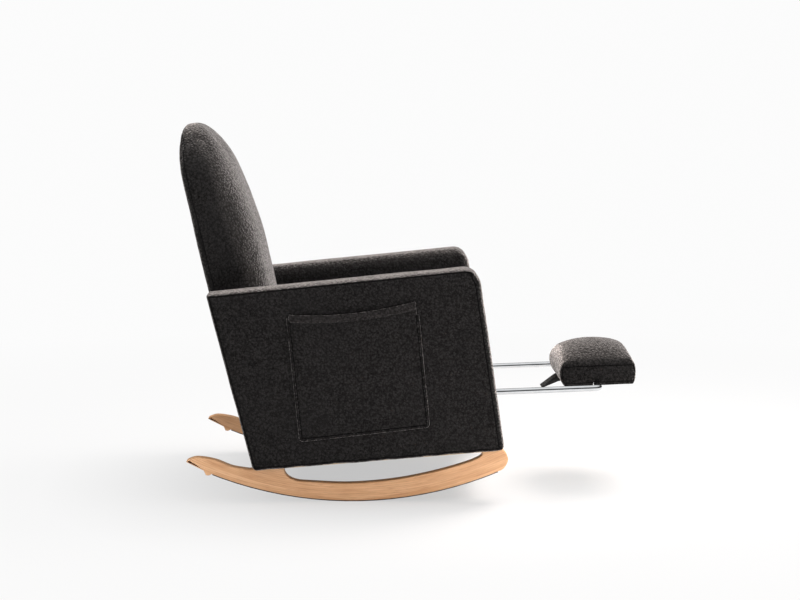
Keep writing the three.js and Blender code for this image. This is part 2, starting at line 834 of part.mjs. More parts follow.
// A shape drawn in y and z, given thickness along x.
function plateX(shape, x0, x1) {
  const form = new THREE.ExtrudeGeometry(polygon(shape, 6), { depth: x1 - x0, bevelEnabled: false });
  return form.rotateX(Math.PI / 2).rotateZ(Math.PI / 2).translate(x0, 0, 0);
}

// The padded back: thinner toward its rounded top, drawn in below between the arms.
function backForm() {
  const height = backHeight + backDepthBelow;
  const rule = (x, y, z) => {
    const up = z + height / 2 - backDepthBelow;
    const depth = backDepth(up);
    const share = x / backThickness + 0.5;
    const rear = Math.max(-up, 0) * Math.tan(Math.atan(rearRakeShare) - backLean * radians);
    const lift = backCrown * dome(y, up - backHeight / 2, backHalfWidth, height) * share;
    const narrow = THREE.MathUtils.smoothstep(up, armClear, armClear + armClearRun);
    const halfWidth = THREE.MathUtils.lerp(armInside - fit, backHalfWidth, narrow);
    const over = Math.max(up - (backHeight - backTopCorner), 0);
    const drawn = backTopCorner - Math.sqrt(Math.max(backTopCorner ** 2 - over ** 2, 0));
    const wide = (halfWidth - drawn) / backHalfWidth;
    return [rear + share * (depth - rear) + Math.max(lift, 0), y * wide, up];
  };
  const radiiAt = (x, y, z) => {
    const toFront = THREE.MathUtils.smoothstep((x + 1) / 2, ...sideRoundShares);
    const side = THREE.MathUtils.lerp(backSideRearRound, backSideFrontRound, toFront);
    return [x > 0 ? backFrontRound : backRearRound, side, z > 0 ? backTopRound : backFootRound];
  };
  return softBlock([backThickness, 2 * backHalfWidth, height], radiiAt, backSteps, rule);
}

// Footrest slide: a bent tube in two guides, with a rear bar that stops it against them

function makeSlide() {
  const span = tubeHalfSpan;
  const turn = (sign, from, to) => bend(-tubeBend, sign * (span - tubeBend), tubeBend, from, to, 5);
  const stations = [
    new THREE.Vector3(-legLength, -span, 0),
    ...turn(-1, -90, 0),
    ...turn(1, 0, 90),
    new THREE.Vector3(-legLength, span, 0),
  ];
  piece(footrest, "footrest_frame", rod(stations, tubeRadius, tubeRadius - tubeWall, 12), chrome);
  const reach = span - tubeRadius - clearance;
  const barPlace = guideRear - tubeRadius - clearance;
  const bar = post(tubeRadius, -reach, reach, 12).rotateX(Math.PI / 2).translate(barPlace, 0, 0);
  piece(footrest, "footrest_rear_bar", bar, chrome);
  for (const [side, sign] of [["right", -1], ["left", 1]]) {
    const cap = post(tubeRadius, 0, plugFlange, 12);
    const stem = post(tubeRadius - tubeWall - clearance, -plugDepth, plugFlange / 2, 12);
    const plug = join(cap, stem).rotateY(-Math.PI / 2).translate(-legLength - clearance, sign * span, 0);
    piece(footrest, `tube_plug_${side}`, plug, plastic);
    piece(footrest, `rod_guide_${side}`, guideForm(sign), plastic);
  }
}

// A guide block that the tube runs through, thinned toward the arm it is screwed to.
function guideForm(sign) {
  const inner = guideInside;
  const outer = armInside - clearance;
  const half = guideHeight / 2;
  const shape = new THREE.Shape();
  shape.moveTo(inner + guideCorner, -half);
  shape.lineTo(outer, -half - guideCorner);
  shape.lineTo(outer, half + guideCorner);
  shape.lineTo(inner + guideCorner, half);
  shape.quadraticCurveTo(inner, half, inner, half - guideCorner);
  shape.lineTo(inner, guideCorner - half);
  shape.quadraticCurveTo(inner, -half, inner + guideCorner, -half);
  const bore = new THREE.Path();
  bore.absarc(tubeHalfSpan, 0, tubeRadius + runningGap, 0, 2 * Math.PI, true);
  shape.holes.push(bore);
  const form = plateX(shape, guideRear, guideFront);
  return sign > 0 ? form : form.rotateX(Math.PI);
}

// Footrest pad: a cushion round a board that turns on the crossbar in two saddle clips

function makePad() {
  const boardFoot = tubeRadius + fit;
  const boardHead = boardFoot + padBoard;
  const half = padLength / 2 - padRim;
  const wide = padWidth / 2 - padRim;
  const boardHalf = half - fit;
  const boardWide = wide - fit;
  const board = box(-boardHalf, boardHalf, -boardWide, boardWide, boardFoot, boardHead);
  piece(footrest, "footrest_board", board.translate(padShift, 0, 0), frameWood);
  const pocket = box(padShift - half, padShift + half, -wide, wide, -overrun, boardHead + clearance);
  const open = tubeRadius + runningGap;
  const groove = box(-open, open, -padWidth, padWidth, -overrun, open);
  piece(footrest, "footrest_pad", cut(padForm(), pocket, groove), cloth);
  for (const [side, sign] of [["right", -1], ["left", 1]]) {
    const clip = saddleForm(boardFoot - clearance).translate(0, sign * padClipPlace, 0);
    piece(footrest, `footrest_clip_${side}`, clip, zinc);
  }
  piece(footrest, "pull_tab", tabForm(), lining);
}

// The pad: flat below, square sided, domed on top.
function padForm() {
  const round = padSoftness;
  const rule = (x, y, z) => {
    const up = z + padSide / 2;
    const lift = padCrown * dome(x, y, padLength / 2, padWidth / 2) ** padDomeShare * (up / padSide);
    return [x + padShift, y, up + lift];
  };
  const radiiAt = (x, y, z) => [round / 2, round / 2, z < 0 ? fit : round];
  return softBlock([padLength, padWidth, padSide], radiiAt, padSteps, rule);
}

// A saddle clip: a strap under the crossbar with an ear each side.
function saddleForm(top) {
  const inner = tubeRadius + runningGap / 2;
  const outer = inner + padClipSheet;
  const shape = new THREE.Shape();
  shape.moveTo(-padClipReach, top - padClipSheet);
  shape.lineTo(-outer, top - padClipSheet);
  shape.lineTo(-outer, 0);
  shape.absarc(0, 0, outer, Math.PI, 2 * Math.PI);
  shape.lineTo(outer, top - padClipSheet);
  shape.lineTo(padClipReach, top - padClipSheet);
  shape.lineTo(padClipReach, top);
  shape.lineTo(inner, top);
  shape.lineTo(inner, 0);
  shape.absarc(0, 0, inner, 0, Math.PI, true);
  shape.lineTo(-inner, top);
  shape.lineTo(-padClipReach, top);
  return slab(shape, -padClipWidth / 2, padClipWidth / 2, { curveSegments: 3 });
}

// The webbing tab, fixed under the rear rim of the pad and hanging behind it.
function tabForm() {
  const rear = padShift - padLength / 2;
  const reach = tabLength * Math.cos(tabDrop * radians);
  const fall = tabLength * Math.sin(tabDrop * radians);
  const shape = new THREE.Shape();
  shape.moveTo(rear + padRim, -clearance);
  shape.lineTo(rear, -clearance);
  shape.quadraticCurveTo(rear - reach / 2, -clearance, rear - reach, -fall);
  shape.lineTo(rear - reach, -fall - tabThickness);
  shape.quadraticCurveTo(rear - reach / 2, -clearance - tabThickness, rear, -clearance - tabThickness);
  shape.lineTo(rear + padRim, -clearance - tabThickness);
  return slab(shape, -tabWidth / 2, tabWidth / 2, { curveSegments: 4 });
}

makeRails();
makeArms();
makePockets();
makeSeat();
makeBase();
makeBack();
makeSlide();
makePad();

chair.updateMatrixWorld(true);
const bounds = new THREE.Box3().setFromObject(chair, true);
const model = new THREE.Group();
chair.position.set(-(bounds.min.x + bounds.max.x) / 2, 0, -bounds.min.z);
model.add(chair);

export default model;
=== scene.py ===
"""Looks of an upholstered rocking armchair with a pull-out footrest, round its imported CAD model.

The file is laid out as an add-on, but is only ever run as a script. Lengths are in metres
unless a name or a comment says millimetres.
"""

import json
import math

import bmesh
import bpy
from mathutils import Matrix, Vector, geometry, noise


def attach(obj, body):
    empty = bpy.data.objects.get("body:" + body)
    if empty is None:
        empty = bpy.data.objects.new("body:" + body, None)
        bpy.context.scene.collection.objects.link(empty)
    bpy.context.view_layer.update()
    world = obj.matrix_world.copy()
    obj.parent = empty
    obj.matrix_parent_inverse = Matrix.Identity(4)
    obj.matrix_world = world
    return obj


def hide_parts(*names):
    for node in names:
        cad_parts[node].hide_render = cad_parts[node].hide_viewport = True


bl_info = {
    "name": "Rocking armchair",
    "version": (1, 0, 0),
    "blender": (4, 5, 0),
    "location": "3D View > Sidebar > Armchair",
    "description": "Upholstery, timber and tube of a rocking armchair, with its studio",
    "category": "Object",
}

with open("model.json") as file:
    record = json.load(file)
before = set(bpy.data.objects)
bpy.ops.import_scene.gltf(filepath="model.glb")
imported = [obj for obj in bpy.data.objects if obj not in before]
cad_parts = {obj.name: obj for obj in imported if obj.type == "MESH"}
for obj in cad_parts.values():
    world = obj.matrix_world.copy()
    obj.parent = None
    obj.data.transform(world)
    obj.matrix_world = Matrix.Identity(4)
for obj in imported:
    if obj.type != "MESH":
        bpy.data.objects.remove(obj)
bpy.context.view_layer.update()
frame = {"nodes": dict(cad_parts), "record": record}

MM = 0.001

# The chair's own frame: arms level, leaned back as it stands at rest
LEAN = math.radians(5.6)
ROCK_RADIUS = 970.0
CONTACT_X = frame["record"]["mounts"][0]["pos_m"][0]
CHAIR = Matrix.Translation((CONTACT_X, 0, -0.0002)) @ Matrix.Rotation(-LEAN, 4, "Y")


def placed(base, x, z, angle):
    """A frame moved to a point of its side view, in millimetres, and turned about y."""
    return base @ Matrix.Translation((x * MM, 0, z * MM)) @ Matrix.Rotation(angle, 4, "Y")


BACK_LEAN = math.radians(6.6)
BACK = placed(CHAIR, -321.0, 565.0, -BACK_LEAN)
FOOTREST = placed(CHAIR, 670.7, 213.7, math.radians(3.5))

# Body, in millimetres
ARM_TOP = 572.0
ARM_INSIDE = 235.0
ARM_OUTSIDE = 350.0
LINING_HALF = 234.7
BODY_FRONT = 374.0
# Slopes of the body's rear line and its lower line
RAKE = 0.153
SLOPE = 0.018
SIDES = (("right", -1), ("left", 1))


def front_x(z):
    """Front line of the arms, in millimetres."""
    return 378.7 + (ARM_TOP - z) * 0.05


def rear_x(z):
    """Rear line of the arms, in millimetres."""
    return -246.2 + (109.0 - z) * RAKE


def foot_z(x):
    """Lower line of the arms, in millimetres."""
    return 105.9 - x * SLOPE


# Meshes: lattices wrapped round blocks, tubes and thin sheets


def lattice_key(axis, side, u, v):
    """The key of a lattice point: its place along an axis, and along the other two in order."""
    key = [u, v]
    key.insert(axis, side)
    return tuple(key)


def lattice(counts):
    """The unique points and outward quads on the faces of a block of cells."""
    index = {}
    quads = []
    for fixed in range(3):
        wide, high = [count for axis, count in enumerate(counts) if axis != fixed]
        for side in (0, counts[fixed]):
            flip = (side == 0) != (fixed == 1)
            for u in range(wide):
                for v in range(high):
                    corners = ((u, v), (u + 1, v), (u + 1, v + 1), (u, v + 1))
                    keys = [lattice_key(fixed, side, *corner) for corner in corners]
                    quad = [index.setdefault(key, len(index)) for key in keys]
                    quads.append(quad[::-1] if flip else quad)
    return index, quads


def window(axis, side, spans):
    """Lattice keys of a closed loop on one face, between two places along each other axis."""
    (u0, u1), (v0, v1) = spans
    loop = [(u, v0) for u in range(u0, u1)] + [(u1, v) for v in range(v0, v1)]
    loop += [(u, v1) for u in range(u1, u0, -1)] + [(u0, v) for v in range(v1, v0, -1)]
    return [lattice_key(axis, side, u, v) for u, v in loop]


def belt(counts, axis, place):
    """Lattice keys of a closed loop round the block at one place along an axis."""
    return window(axis, place, [(0, n) for other, n in enumerate(counts) if other != axis])


def places(length, edge, pitch):
    """Places along a length: chosen distances from both ends, evenly spaced between them."""
    span = length - 2 * edge[-1]
    count = max(round(span / pitch), 1)
    middle = [edge[-1] + span * k / count for k in range(1, count)]
    return list(edge) + middle + [length - d for d in reversed(edge)]


def mesh_object(name, points, faces, matrix=None, edges=()):
    """An object at the origin from points in millimetres, placed by a matrix."""
    mesh = bpy.data.meshes.new(name)
    mesh.from_pydata([tuple(c * MM for c in point) for point in points], list(edges), faces)
    if matrix is not None:
        mesh.transform(matrix)
    for polygon in mesh.polygons:
        polygon.use_smooth = True
    mesh.validate()
    mesh.update()
    obj = bpy.data.objects.new(name, mesh)
    bpy.context.scene.collection.objects.link(obj)
    return obj


def round_block(point, half, reach):
    """A point of a block's surface, moved onto the block's rounded form."""
    core = []
    away = []
    for value, limit, radius in zip(point, half, reach):
        inner = limit - radius
        kept = min(max(value, -inner), inner)
        core.append(kept)
        away.append((value - kept) / radius)
    length = math.sqrt(sum(part * part for part in away))
    return [kept + part / length * radius for kept, part, radius in zip(core, away, reach)]


def baked(obj):
    """Applies an object's modifiers and keeps its name and materials."""
    depsgraph = bpy.context.evaluated_depsgraph_get()
    result = bpy.data.meshes.new_from_object(obj.evaluated_get(depsgraph))
    obj.modifiers.clear()
    old = obj.data
    obj.data = result
    bpy.data.meshes.remove(old)
    obj.data.name = obj.name
    return obj


def subdivided(obj, levels=1):
    """Smooths an object by subdivision."""
    modifier = obj.modifiers.new("smooth", "SUBSURF")
    modifier.levels = levels
    modifier.render_levels = levels
    return baked(obj)


def shift_along_normals(obj, rule):
    """Moves each vertex along its normal by the millimetres that a rule gives for it."""
    mesh = obj.data
    normals = [vertex.normal.copy() for vertex in mesh.vertices]
    for vertex, normal in zip(mesh.vertices, normals):
        vertex.co += normal * (rule(vertex) * MM)
    mesh.update()


def ripple(obj, height, size, seed):
    """The slight unevenness of padding under cloth; height and size in millimetres."""
    offset = Vector((seed * 3.1, seed * 1.7, seed * 2.3))

    def rule(vertex):
        return height * noise.noise(vertex.co / (size * MM) + offset)

    shift_along_normals(obj, rule)


def pinch(obj, seams, depth):
    """Draws the vertices of the seams into the padding."""
    inside = set(index for seam in seams for index in seam)
    shift_along_normals(obj, lambda vertex: -depth if vertex.index in inside else 0.0)


def neighbours(mesh):
    """For each vertex, those that share an edge with it."""
    near = [[] for _ in mesh.vertices]
    for edge in mesh.edges:
        first, second = edge.vertices
        near[first].append(second)
        near[second].append(first)
    return near


CLOTH = {
    "quality": 6,
    "mass": 0.3,
    "tension_stiffness": 22,
    "compression_stiffness": 22,
    "shear_stiffness": 9,
    "bending_stiffness": 1.2,
    "vertex_group_mass": "held",
    "use_pressure": True,
}
CLOTH_STEPS = 20


def inflate(obj, held, pressure, limit, passes=6):
    """Fills a padded piece by a cloth simulation.

    Held vertices stay, and no other moves further than the limit in millimetres.
    The moves are evened out over their neighbours, as wadding under the cloth does.
    """
    scene = bpy.context.scene
    start = [vertex.co.copy() for vertex in obj.data.vertices]
    group = obj.vertex_groups.new(name="held")
    group.add(list(held), 1.0, "REPLACE")
    cloth = obj.modifiers.new("cloth", "CLOTH")
    for key, value in CLOTH.items():
        setattr(cloth.settings, key, value)
    cloth.settings.uniform_pressure_force = pressure
    cloth.settings.effector_weights.gravity = 0
    cloth.collision_settings.use_collision = False
    cloth.point_cache.frame_start = 1
    cloth.point_cache.frame_end = CLOTH_STEPS
    for step in range(1, CLOTH_STEPS + 1):
        scene.frame_set(step)
    baked(obj)
    scene.frame_set(1)
    obj.vertex_groups.clear()
    moves = []
    for vertex, origin in zip(obj.data.vertices, start):
        move = vertex.co - origin
        moves.append(move * min(1.0, limit * MM / max(move.length, 1e-9)))
    near = neighbours(obj.data)
    for _ in range(passes):
        before = moves
        moves = []
        for index, move in enumerate(before):
            middle = sum((before[k] for k in near[index]), Vector()) / len(near[index])
            moves.append(move if index in held else move.lerp(middle, 0.6))
    for vertex, origin, move in zip(obj.data.vertices, start, moves):
        vertex.co = origin + move
    obj.data.update()


def tube_faces(rings, sides, closed):
    """Quads between the rings of a tube."""
    faces = []
    count = rings if closed else rings - 1
    for k in range(count):
        for i in range(sides):
            a = k * sides + i
            b = k * sides + (i + 1) % sides
            c = ((k + 1) % rings) * sides + (i + 1) % sides
            d = ((k + 1) % rings) * sides + i
            faces.append([a, b, c, d])
    return faces


def tube(name, paths, radius, sides=6, matrix=None):
    """One mesh of tubes along paths of points in millimetres, each path (points, closed)."""
    points = []
    faces = []
    for path, closed in paths:
        offset = len(points)
        count = len(path)
        for k, here in enumerate(path):
            before = Vector(path[k - 1] if closed or k > 0 else here)
            after = Vector(path[(k + 1) % count] if closed or k < count - 1 else here)
            along = (after - before).normalized()
            side = along.cross(Vector((0, 1, 0)))
            if side.length < 0.2:
                side = along.cross(Vector((0, 0, 1)))
            side.normalize()
            rise = side.cross(along).normalized()
            for i in range(sides):
                angle = 2 * math.pi * i / sides
                spread = side * math.cos(angle) + rise * math.sin(angle)
                points.append(Vector(here) + spread * radius)
        faces += [[offset + v for v in face] for face in tube_faces(count, sides, closed)]
        if not closed:
            faces.append([offset + i for i in reversed(range(sides))])
            last = offset + (count - 1) * sides
            faces.append([last + i for i in range(sides)])
    return mesh_object(name, points, faces, matrix)


# Materials

NOISE = "ShaderNodeTexNoise"
WAVE = "ShaderNodeTexWave"
VECTOR = "ShaderNodeVectorMath"
MATH = "ShaderNodeMath"
RANGE = "ShaderNodeMapRange"
MIX = "ShaderNodeMix"
BUMP = "ShaderNodeBump"


def linear(code):
    """Linear colour of an sRGB hex code."""
    channels = [int(code[k : k + 2], 16) / 255 for k in (0, 2, 4)]
    values = [c / 12.92 if c <= 0.04045 else ((c + 0.055) / 1.055) ** 2.4 for c in channels]
    return (*values, 1.0)


def settle(tree, node, inputs):
    """Sets a node's inputs; each is a value, or a socket to link from."""
    for key, value in inputs.items():
        if isinstance(value, bpy.types.NodeSocket):
            tree.links.new(value, node.inputs[key])
        else:
            node.inputs[key].default_value = value


def add(tree, kind, inputs=None, output=0, **settings):
    """Adds a node with its settings and links, and gives the wanted output, or all for None."""
    node = tree.nodes.new(kind)
    for key, value in settings.items():
        setattr(node, key, value)
    settle(tree, node, inputs or {})
    return node.outputs if output is None or not node.outputs else node.outputs[output]


def new_material(name):
    """A node material with its shader, and the Object coordinates in metres."""
    material = bpy.data.materials.new(name)
    material.use_nodes = True
    tree = material.node_tree
    shader = tree.nodes["Principled BSDF"]
    return material, tree, shader, add(tree, "ShaderNodeTexCoord", output="Object")


def layered(tree, base, *layers):
    """A colour with others over it; a layer is (mask, its low, its high, strength, colour)."""
    for mask, low, high, strength, colour in layers:
        share = add(tree, RANGE, {0: mask, 1: low, 2: high, 4: strength})
        base = add(tree, MIX, {0: share, 6: base, 7: colour}, 2, data_type="RGBA")
    return base


def boucle_material(name, gap_shade, loop, fleck, patch, wear):
    """Looped boucle: knots of about 6 mm, painted shade in the gaps between them, pale bloom at
    grazing view.
    """
    material, tree, shader, place = new_material(name)
    warp = add(tree, NOISE, {"Vector": place, "Scale": 1 / (6 * MM)}, "Color")
    shift = add(tree, VECTOR, {0: warp, 3: 3.2 * MM}, operation="SCALE")
    wound = add(tree, VECTOR, {0: place, 1: shift}, operation="ADD")
    inputs = {"Vector": wound, "Scale": 1 / (6.2 * MM), "Smoothness": 0.2}
    knots = add(tree, "ShaderNodeTexVoronoi", inputs, "Distance", feature="SMOOTH_F1")
    sunk = add(tree, RANGE, {0: knots, 1: 0.1, 2: 0.75})
    loops = add(tree, MATH, {0: 1.0, 1: sunk}, operation="SUBTRACT")
    fuzz = add(tree, NOISE, {"Vector": wound, "Scale": 1 / (1.1 * MM), "Detail": 3.0})
    inputs = {"Vector": place, "Scale": 1 / (26 * MM), "Detail": 3.0, "Distortion": 0.6}
    blotch = add(tree, NOISE, inputs)
    broad = add(tree, NOISE, {"Vector": place, "Scale": 1 / (170 * MM), "Detail": 1.0})
    raised = add(tree, MATH, {0: fuzz, 1: 0.55}, operation="MULTIPLY")
    height = add(tree, MATH, {0: loops, 1: raised}, operation="ADD")
    # The gap colour under the loops is painted shade in the recesses between the knots; the loops'
    # bump and sheen are real.
    colour = layered(
        tree,
        gap_shade,
        (loops, 0.15, 0.8, 1.0, loop),
        (fuzz, 0.45, 0.7, 1.0, linear(fleck)),
        (blotch, 0.35, 0.7, 0.3, linear(patch)),
        (broad, 0.4, 0.7, 0.22, linear(wear)),
    )
    bump = add(tree, BUMP, {"Strength": 0.8, "Distance": 1.5 * MM, "Height": height})
    sheen = add(tree, RANGE, {0: height, 1: 0.3, 2: 1.1, 3: 0.4, 4: 1.0})
    looks = {"Base Color": colour, "Normal": bump, "Roughness": 0.95, "Specular IOR Level": 0.03}
    settle(tree, shader, looks)
    bloom = {"Sheen Weight": sheen, "Sheen Roughness": 0.3, "Sheen Tint": linear("FFF7F3")}
    settle(tree, shader, bloom)
    return material


def seam_shade_material():
    """Painted shade for a seam's crease, in the same cloth: nearly black, with no bloom."""
    material, tree, shader, place = new_material("seam_shadow_cloth")
    grain = add(tree, NOISE, {"Vector": place, "Scale": 1 / (2 * MM)})
    colour = layered(tree, linear("030303"), (grain, 0.35, 0.65, 1.0, linear("0B0A0A")))
    settle(tree, shader, {"Base Color": colour, "Roughness": 1.0, "Specular IOR Level": 0.1})
    return material


def thread_material():
    """Dark sewing thread, slightly glossy; its twist is drawn every 5 mm, coarser, to show."""
    material, tree, shader, place = new_material("sewing_thread")
    inputs = {"Vector": place, "Scale": 1 / (5 * MM), "Distortion": 1.0}
    twist = add(tree, WAVE, inputs, "Fac")
    colour = layered(tree, linear("0D0C0C"), (twist, 0.0, 1.0, 1.0, linear("191818")))
    bump = add(tree, BUMP, {"Strength": 0.5, "Distance": 0.2 * MM, "Height": twist})
    settle(tree, shader, {"Base Color": colour, "Normal": bump, "Roughness": 0.6})
    return material


def woven_material(name, dark, light, pitch, relief):
    """Plain black weave, matt and a little dusty, its threads a pitch in millimetres apart."""
    material, tree, shader, place = new_material(name)
    inputs = {"Vector": place, "Scale": 0.5 / (pitch * MM)}
    warp = add(tree, WAVE, inputs, "Fac", bands_direction="Y")
    weft = add(tree, WAVE, inputs, "Fac", bands_direction="X")
    over = add(tree, MATH, {0: warp, 1: weft}, operation="MULTIPLY")
    dust = add(tree, NOISE, {"Vector": place, "Scale": 1 / (18 * MM), "Detail": 4.0})
    threads = (over, 0.0, 1.0, 1.0, linear(light))
    colour = layered(tree, linear(dark), threads, (dust, 0.5, 0.8, 0.3, linear("302E2C")))
    bump = add(tree, BUMP, {"Strength": 0.7, "Distance": relief * MM, "Height": over})
    looks = {"Base Color": colour, "Normal": bump, "Roughness": 0.85, "Sheen Weight": 0.05}
    settle(tree, shader, looks)
    return material


def along_arc(tree, place):
    """Coordinates that follow the rail: run along the arc, across, and distance from the arc."""
    parts = add(tree, "ShaderNodeSeparateXYZ", {0: place}, None)
    x = add(tree, MATH, {0: parts["X"], 1: CONTACT_X}, operation="SUBTRACT")
    z = add(tree, MATH, {0: ROCK_RADIUS * MM, 1: parts["Z"]}, operation="SUBTRACT")
    angle = add(tree, MATH, {0: x, 1: z}, operation="ARCTAN2")
    run = add(tree, MATH, {0: angle, 1: ROCK_RADIUS * MM}, operation="MULTIPLY")
    x_square = add(tree, MATH, {0: x, 1: x}, operation="MULTIPLY")
    z_square = add(tree, MATH, {0: z, 1: z}, operation="MULTIPLY")
    square = add(tree, MATH, {0: x_square, 1: z_square}, operation="ADD")
    reach = add(tree, MATH, {0: square}, operation="SQRT")
    out = add(tree, MATH, {0: reach, 1: ROCK_RADIUS * MM}, operation="SUBTRACT")
    return add(tree, "ShaderNodeCombineXYZ", {"X": run, "Y": parts["Y"], "Z": out})


def rail_material(pale, dark):
    """Pale clear-lacquered hardwood: grain along the rail, darker early wood, fine pores."""
    material, tree, shader, place = new_material("lacquered_pale_wood")
    arc = along_arc(tree, place)
    drawn = add(tree, VECTOR, {0: arc, 1: (0.06, 0.5, 1.0)}, operation="MULTIPLY")
    inputs = {"Vector": drawn, "Scale": 1 / (11 * MM), "Detail": 3.0, "Distortion": 1.2}
    drift = add(tree, NOISE, inputs)
    inputs = {"Vector": drawn, "Scale": 1 / (3 * MM), "Detail": 4.0, "Distortion": 0.6}
    streak = add(tree, NOISE, inputs)
    bands = add(tree, VECTOR, {0: arc, 1: (0.045, 0.6, 1.0)}, operation="MULTIPLY")
    inputs = {"Vector": bands, "Scale": 1 / (16 * MM), "Distortion": 5.0, "Detail Scale": 1.4}
    rings = add(tree, WAVE, inputs, "Fac", bands_direction="Z", wave_profile="SAW")
    fine = add(tree, VECTOR, {0: arc, 1: (0.035, 1.0, 1.0)}, operation="MULTIPLY")
    pores = add(tree, NOISE, {"Vector": fine, "Scale": 1 / (0.7 * MM)})
    colour = layered(
        tree,
        pale,
        (drift, 0.3, 0.72, 1.0, dark),
        (rings, 0.35, 1.0, 0.4, linear("BD8455")),
        (streak, 0.52, 0.72, 0.5, linear("B3794F")),
        (pores, 0.6, 0.74, 0.4, linear("8F5C38")),
    )
    bump = add(tree, BUMP, {"Strength": 0.25, "Distance": 0.15 * MM, "Height": pores})
    rough = add(tree, RANGE, {0: streak, 1: 0.3, 2: 0.7, 3: 0.38, 4: 0.5})
    settle(tree, shader, {"Base Color": colour, "Normal": bump, "Roughness": rough})
    settle(tree, shader, {"Coat Weight": 0.18, "Coat Roughness": 0.3})
    return material


def board_material():
    """Bare sawn softwood of the inner frame: straight grain, matt."""
    material, tree, shader, place = new_material("sawn_frame_wood")
    drawn = add(tree, VECTOR, {0: place, 1: (0.08, 0.3, 1.0)}, operation="MULTIPLY")
    inputs = {"Vector": drawn, "Scale": 1 / (5 * MM), "Detail": 4.0, "Distortion": 0.8}
    grain = add(tree, NOISE, inputs)
    saw = add(tree, NOISE, {"Vector": drawn, "Scale": 1 / (0.9 * MM)})
    colour = layered(tree, linear("CDAE82"), (grain, 0.35, 0.7, 1.0, linear("A9855A")))
    bump = add(tree, BUMP, {"Strength": 0.4, "Distance": 0.3 * MM, "Height": saw})
    settle(tree, shader, {"Base Color": colour, "Normal": bump, "Roughness": 0.8})
    return material


def metal_material(name, tint, rough, spread, pitch):
    """Plated steel: a bright skin, faint smears, handling marks drawn coarse enough to show."""
    material, tree, shader, place = new_material(name)
    inputs = {"Vector": place, "Scale": 1 / (pitch * MM), "Detail": 4.0, "Distortion": 0.8}
    smear = add(tree, NOISE, inputs)
    drawn = add(tree, VECTOR, {0: place, 1: (0.02, 1.0, 1.0)}, operation="MULTIPLY")
    marks = add(tree, NOISE, {"Vector": drawn, "Scale": 1 / (0.5 * MM)})
    dulled = add(tree, RANGE, {0: smear, 1: 0.35, 2: 0.75, 3: rough, 4: rough + spread})
    colour = layered(tree, linear(tint), (smear, 0.4, 0.8, 0.25, linear("8C8F92")))
    bump = add(tree, BUMP, {"Strength": 0.06, "Distance": 0.05 * MM, "Height": marks})
    looks = {"Base Color": colour, "Normal": bump, "Roughness": dulled, "Metallic": 1.0}
    settle(tree, shader, looks)
    return material


def moulded_material(name, dark, light, rough):
    """Moulded plastic or rubber: a fine eroded texture, drawn coarser to show, and rubbed spots."""
    material, tree, shader, place = new_material(name)
    speck = add(tree, NOISE, {"Vector": place, "Scale": 1 / (0.6 * MM)})
    rub = add(tree, NOISE, {"Vector": place, "Scale": 1 / (20 * MM), "Detail": 3.0})
    colour = layered(tree, linear(dark), (rub, 0.45, 0.75, 1.0, linear(light)))
    rubbed = add(tree, RANGE, {0: rub, 1: 0.4, 2: 0.8, 3: rough, 4: rough - 0.12})
    bump = add(tree, BUMP, {"Strength": 0.3, "Distance": 0.08 * MM, "Height": speck})
    settle(tree, shader, {"Base Color": colour, "Normal": bump, "Roughness": rubbed})
    return material


def make_material(name):
    """A new material for the name of a finish."""
    given = bpy.context.scene.armchair_colours
    gap_shade, loop = tuple(given.boucle_gap_shade), tuple(given.boucle_loop)
    pale, dark = tuple(given.wood_pale), tuple(given.wood_dark)
    # A lighter copy of the boucle for the pocket hems: painted light on the rolled hem band.
    hem = (linear("060606"), linear("2C2A2A"))
    makers = {
        "boucle": (boucle_material, "charcoal_boucle", gap_shade, loop, "383635", "0E0E0E", "222121"),
        "hem_painted_light": (boucle_material, "brushed_boucle", *hem, "3E3B3A", "141313", "302E2D"),
        # The seam finish is painted shade: near-black cloth for the tubes laid in the seams'
        # creases.
        "seam": (seam_shade_material,),
        "thread": (thread_material,),
        "webbing": (woven_material, "black_webbing", "0A0A0A", "1D1C1C", 1.3, 0.5),
        "lining": (woven_material, "black_dust_cloth", "121213", "242324", 0.8, 0.2),
        "rail": (rail_material, pale, dark),
        "board": (board_material,),
        "chrome": (metal_material, "chromed_steel", "E4E6E8", 0.06, 0.08, 40.0),
        "zinc": (metal_material, "zinc_plated_steel", "B9BCC0", 0.32, 0.2, 12.0),
        "plastic": (moulded_material, "black_moulded_plastic", "151517", "232325", 0.5),
        "rubber": (moulded_material, "dark_strip_rubber", "1E1C1A", "2B2826", 0.9),
    }
    maker, *values = makers[name]
    return maker(*values)


MATERIALS = {}


def finish(name):
    """The shared material of a finish, made when it is first asked for."""
    if name not in MATERIALS:
        MATERIALS[name] = make_material(name)
    return MATERIALS[name]


def dress(obj, name, body):
    """Gives a new piece its finish and the body that it rides on."""
    obj.data.materials.clear()
    obj.data.materials.append(finish(name))
    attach(obj, body)


# Geometry Nodes: what follows a path


def new_tree(name, inputs):
    """An empty geometry tree with named inputs, and its group nodes."""
    tree = bpy.data.node_groups.new(name, "GeometryNodeTree")
    tree.interface.new_socket("Geometry", in_out="INPUT", socket_type="NodeSocketGeometry")
    for label, value in inputs.items():
        kind = "NodeSocketFloat"
        socket = tree.interface.new_socket(label, in_out="INPUT", socket_type=kind)
        socket.default_value = value
    tree.interface.new_socket("Geometry", in_out="OUTPUT", socket_type="NodeSocketGeometry")
    given = tree.nodes.new("NodeGroupInput").outputs
    return tree, given, tree.nodes.new("NodeGroupOutput").inputs


def finish_tree(tree, result, geometry_socket, name):
    """Ends a tree: makes its instances real, and gives them a finish."""
    real = add(tree, "GeometryNodeRealizeInstances", {0: geometry_socket})
    inputs = {"Geometry": real, "Material": finish(name)}
    tree.links.new(add(tree, "GeometryNodeSetMaterial", inputs), result["Geometry"])
    return tree


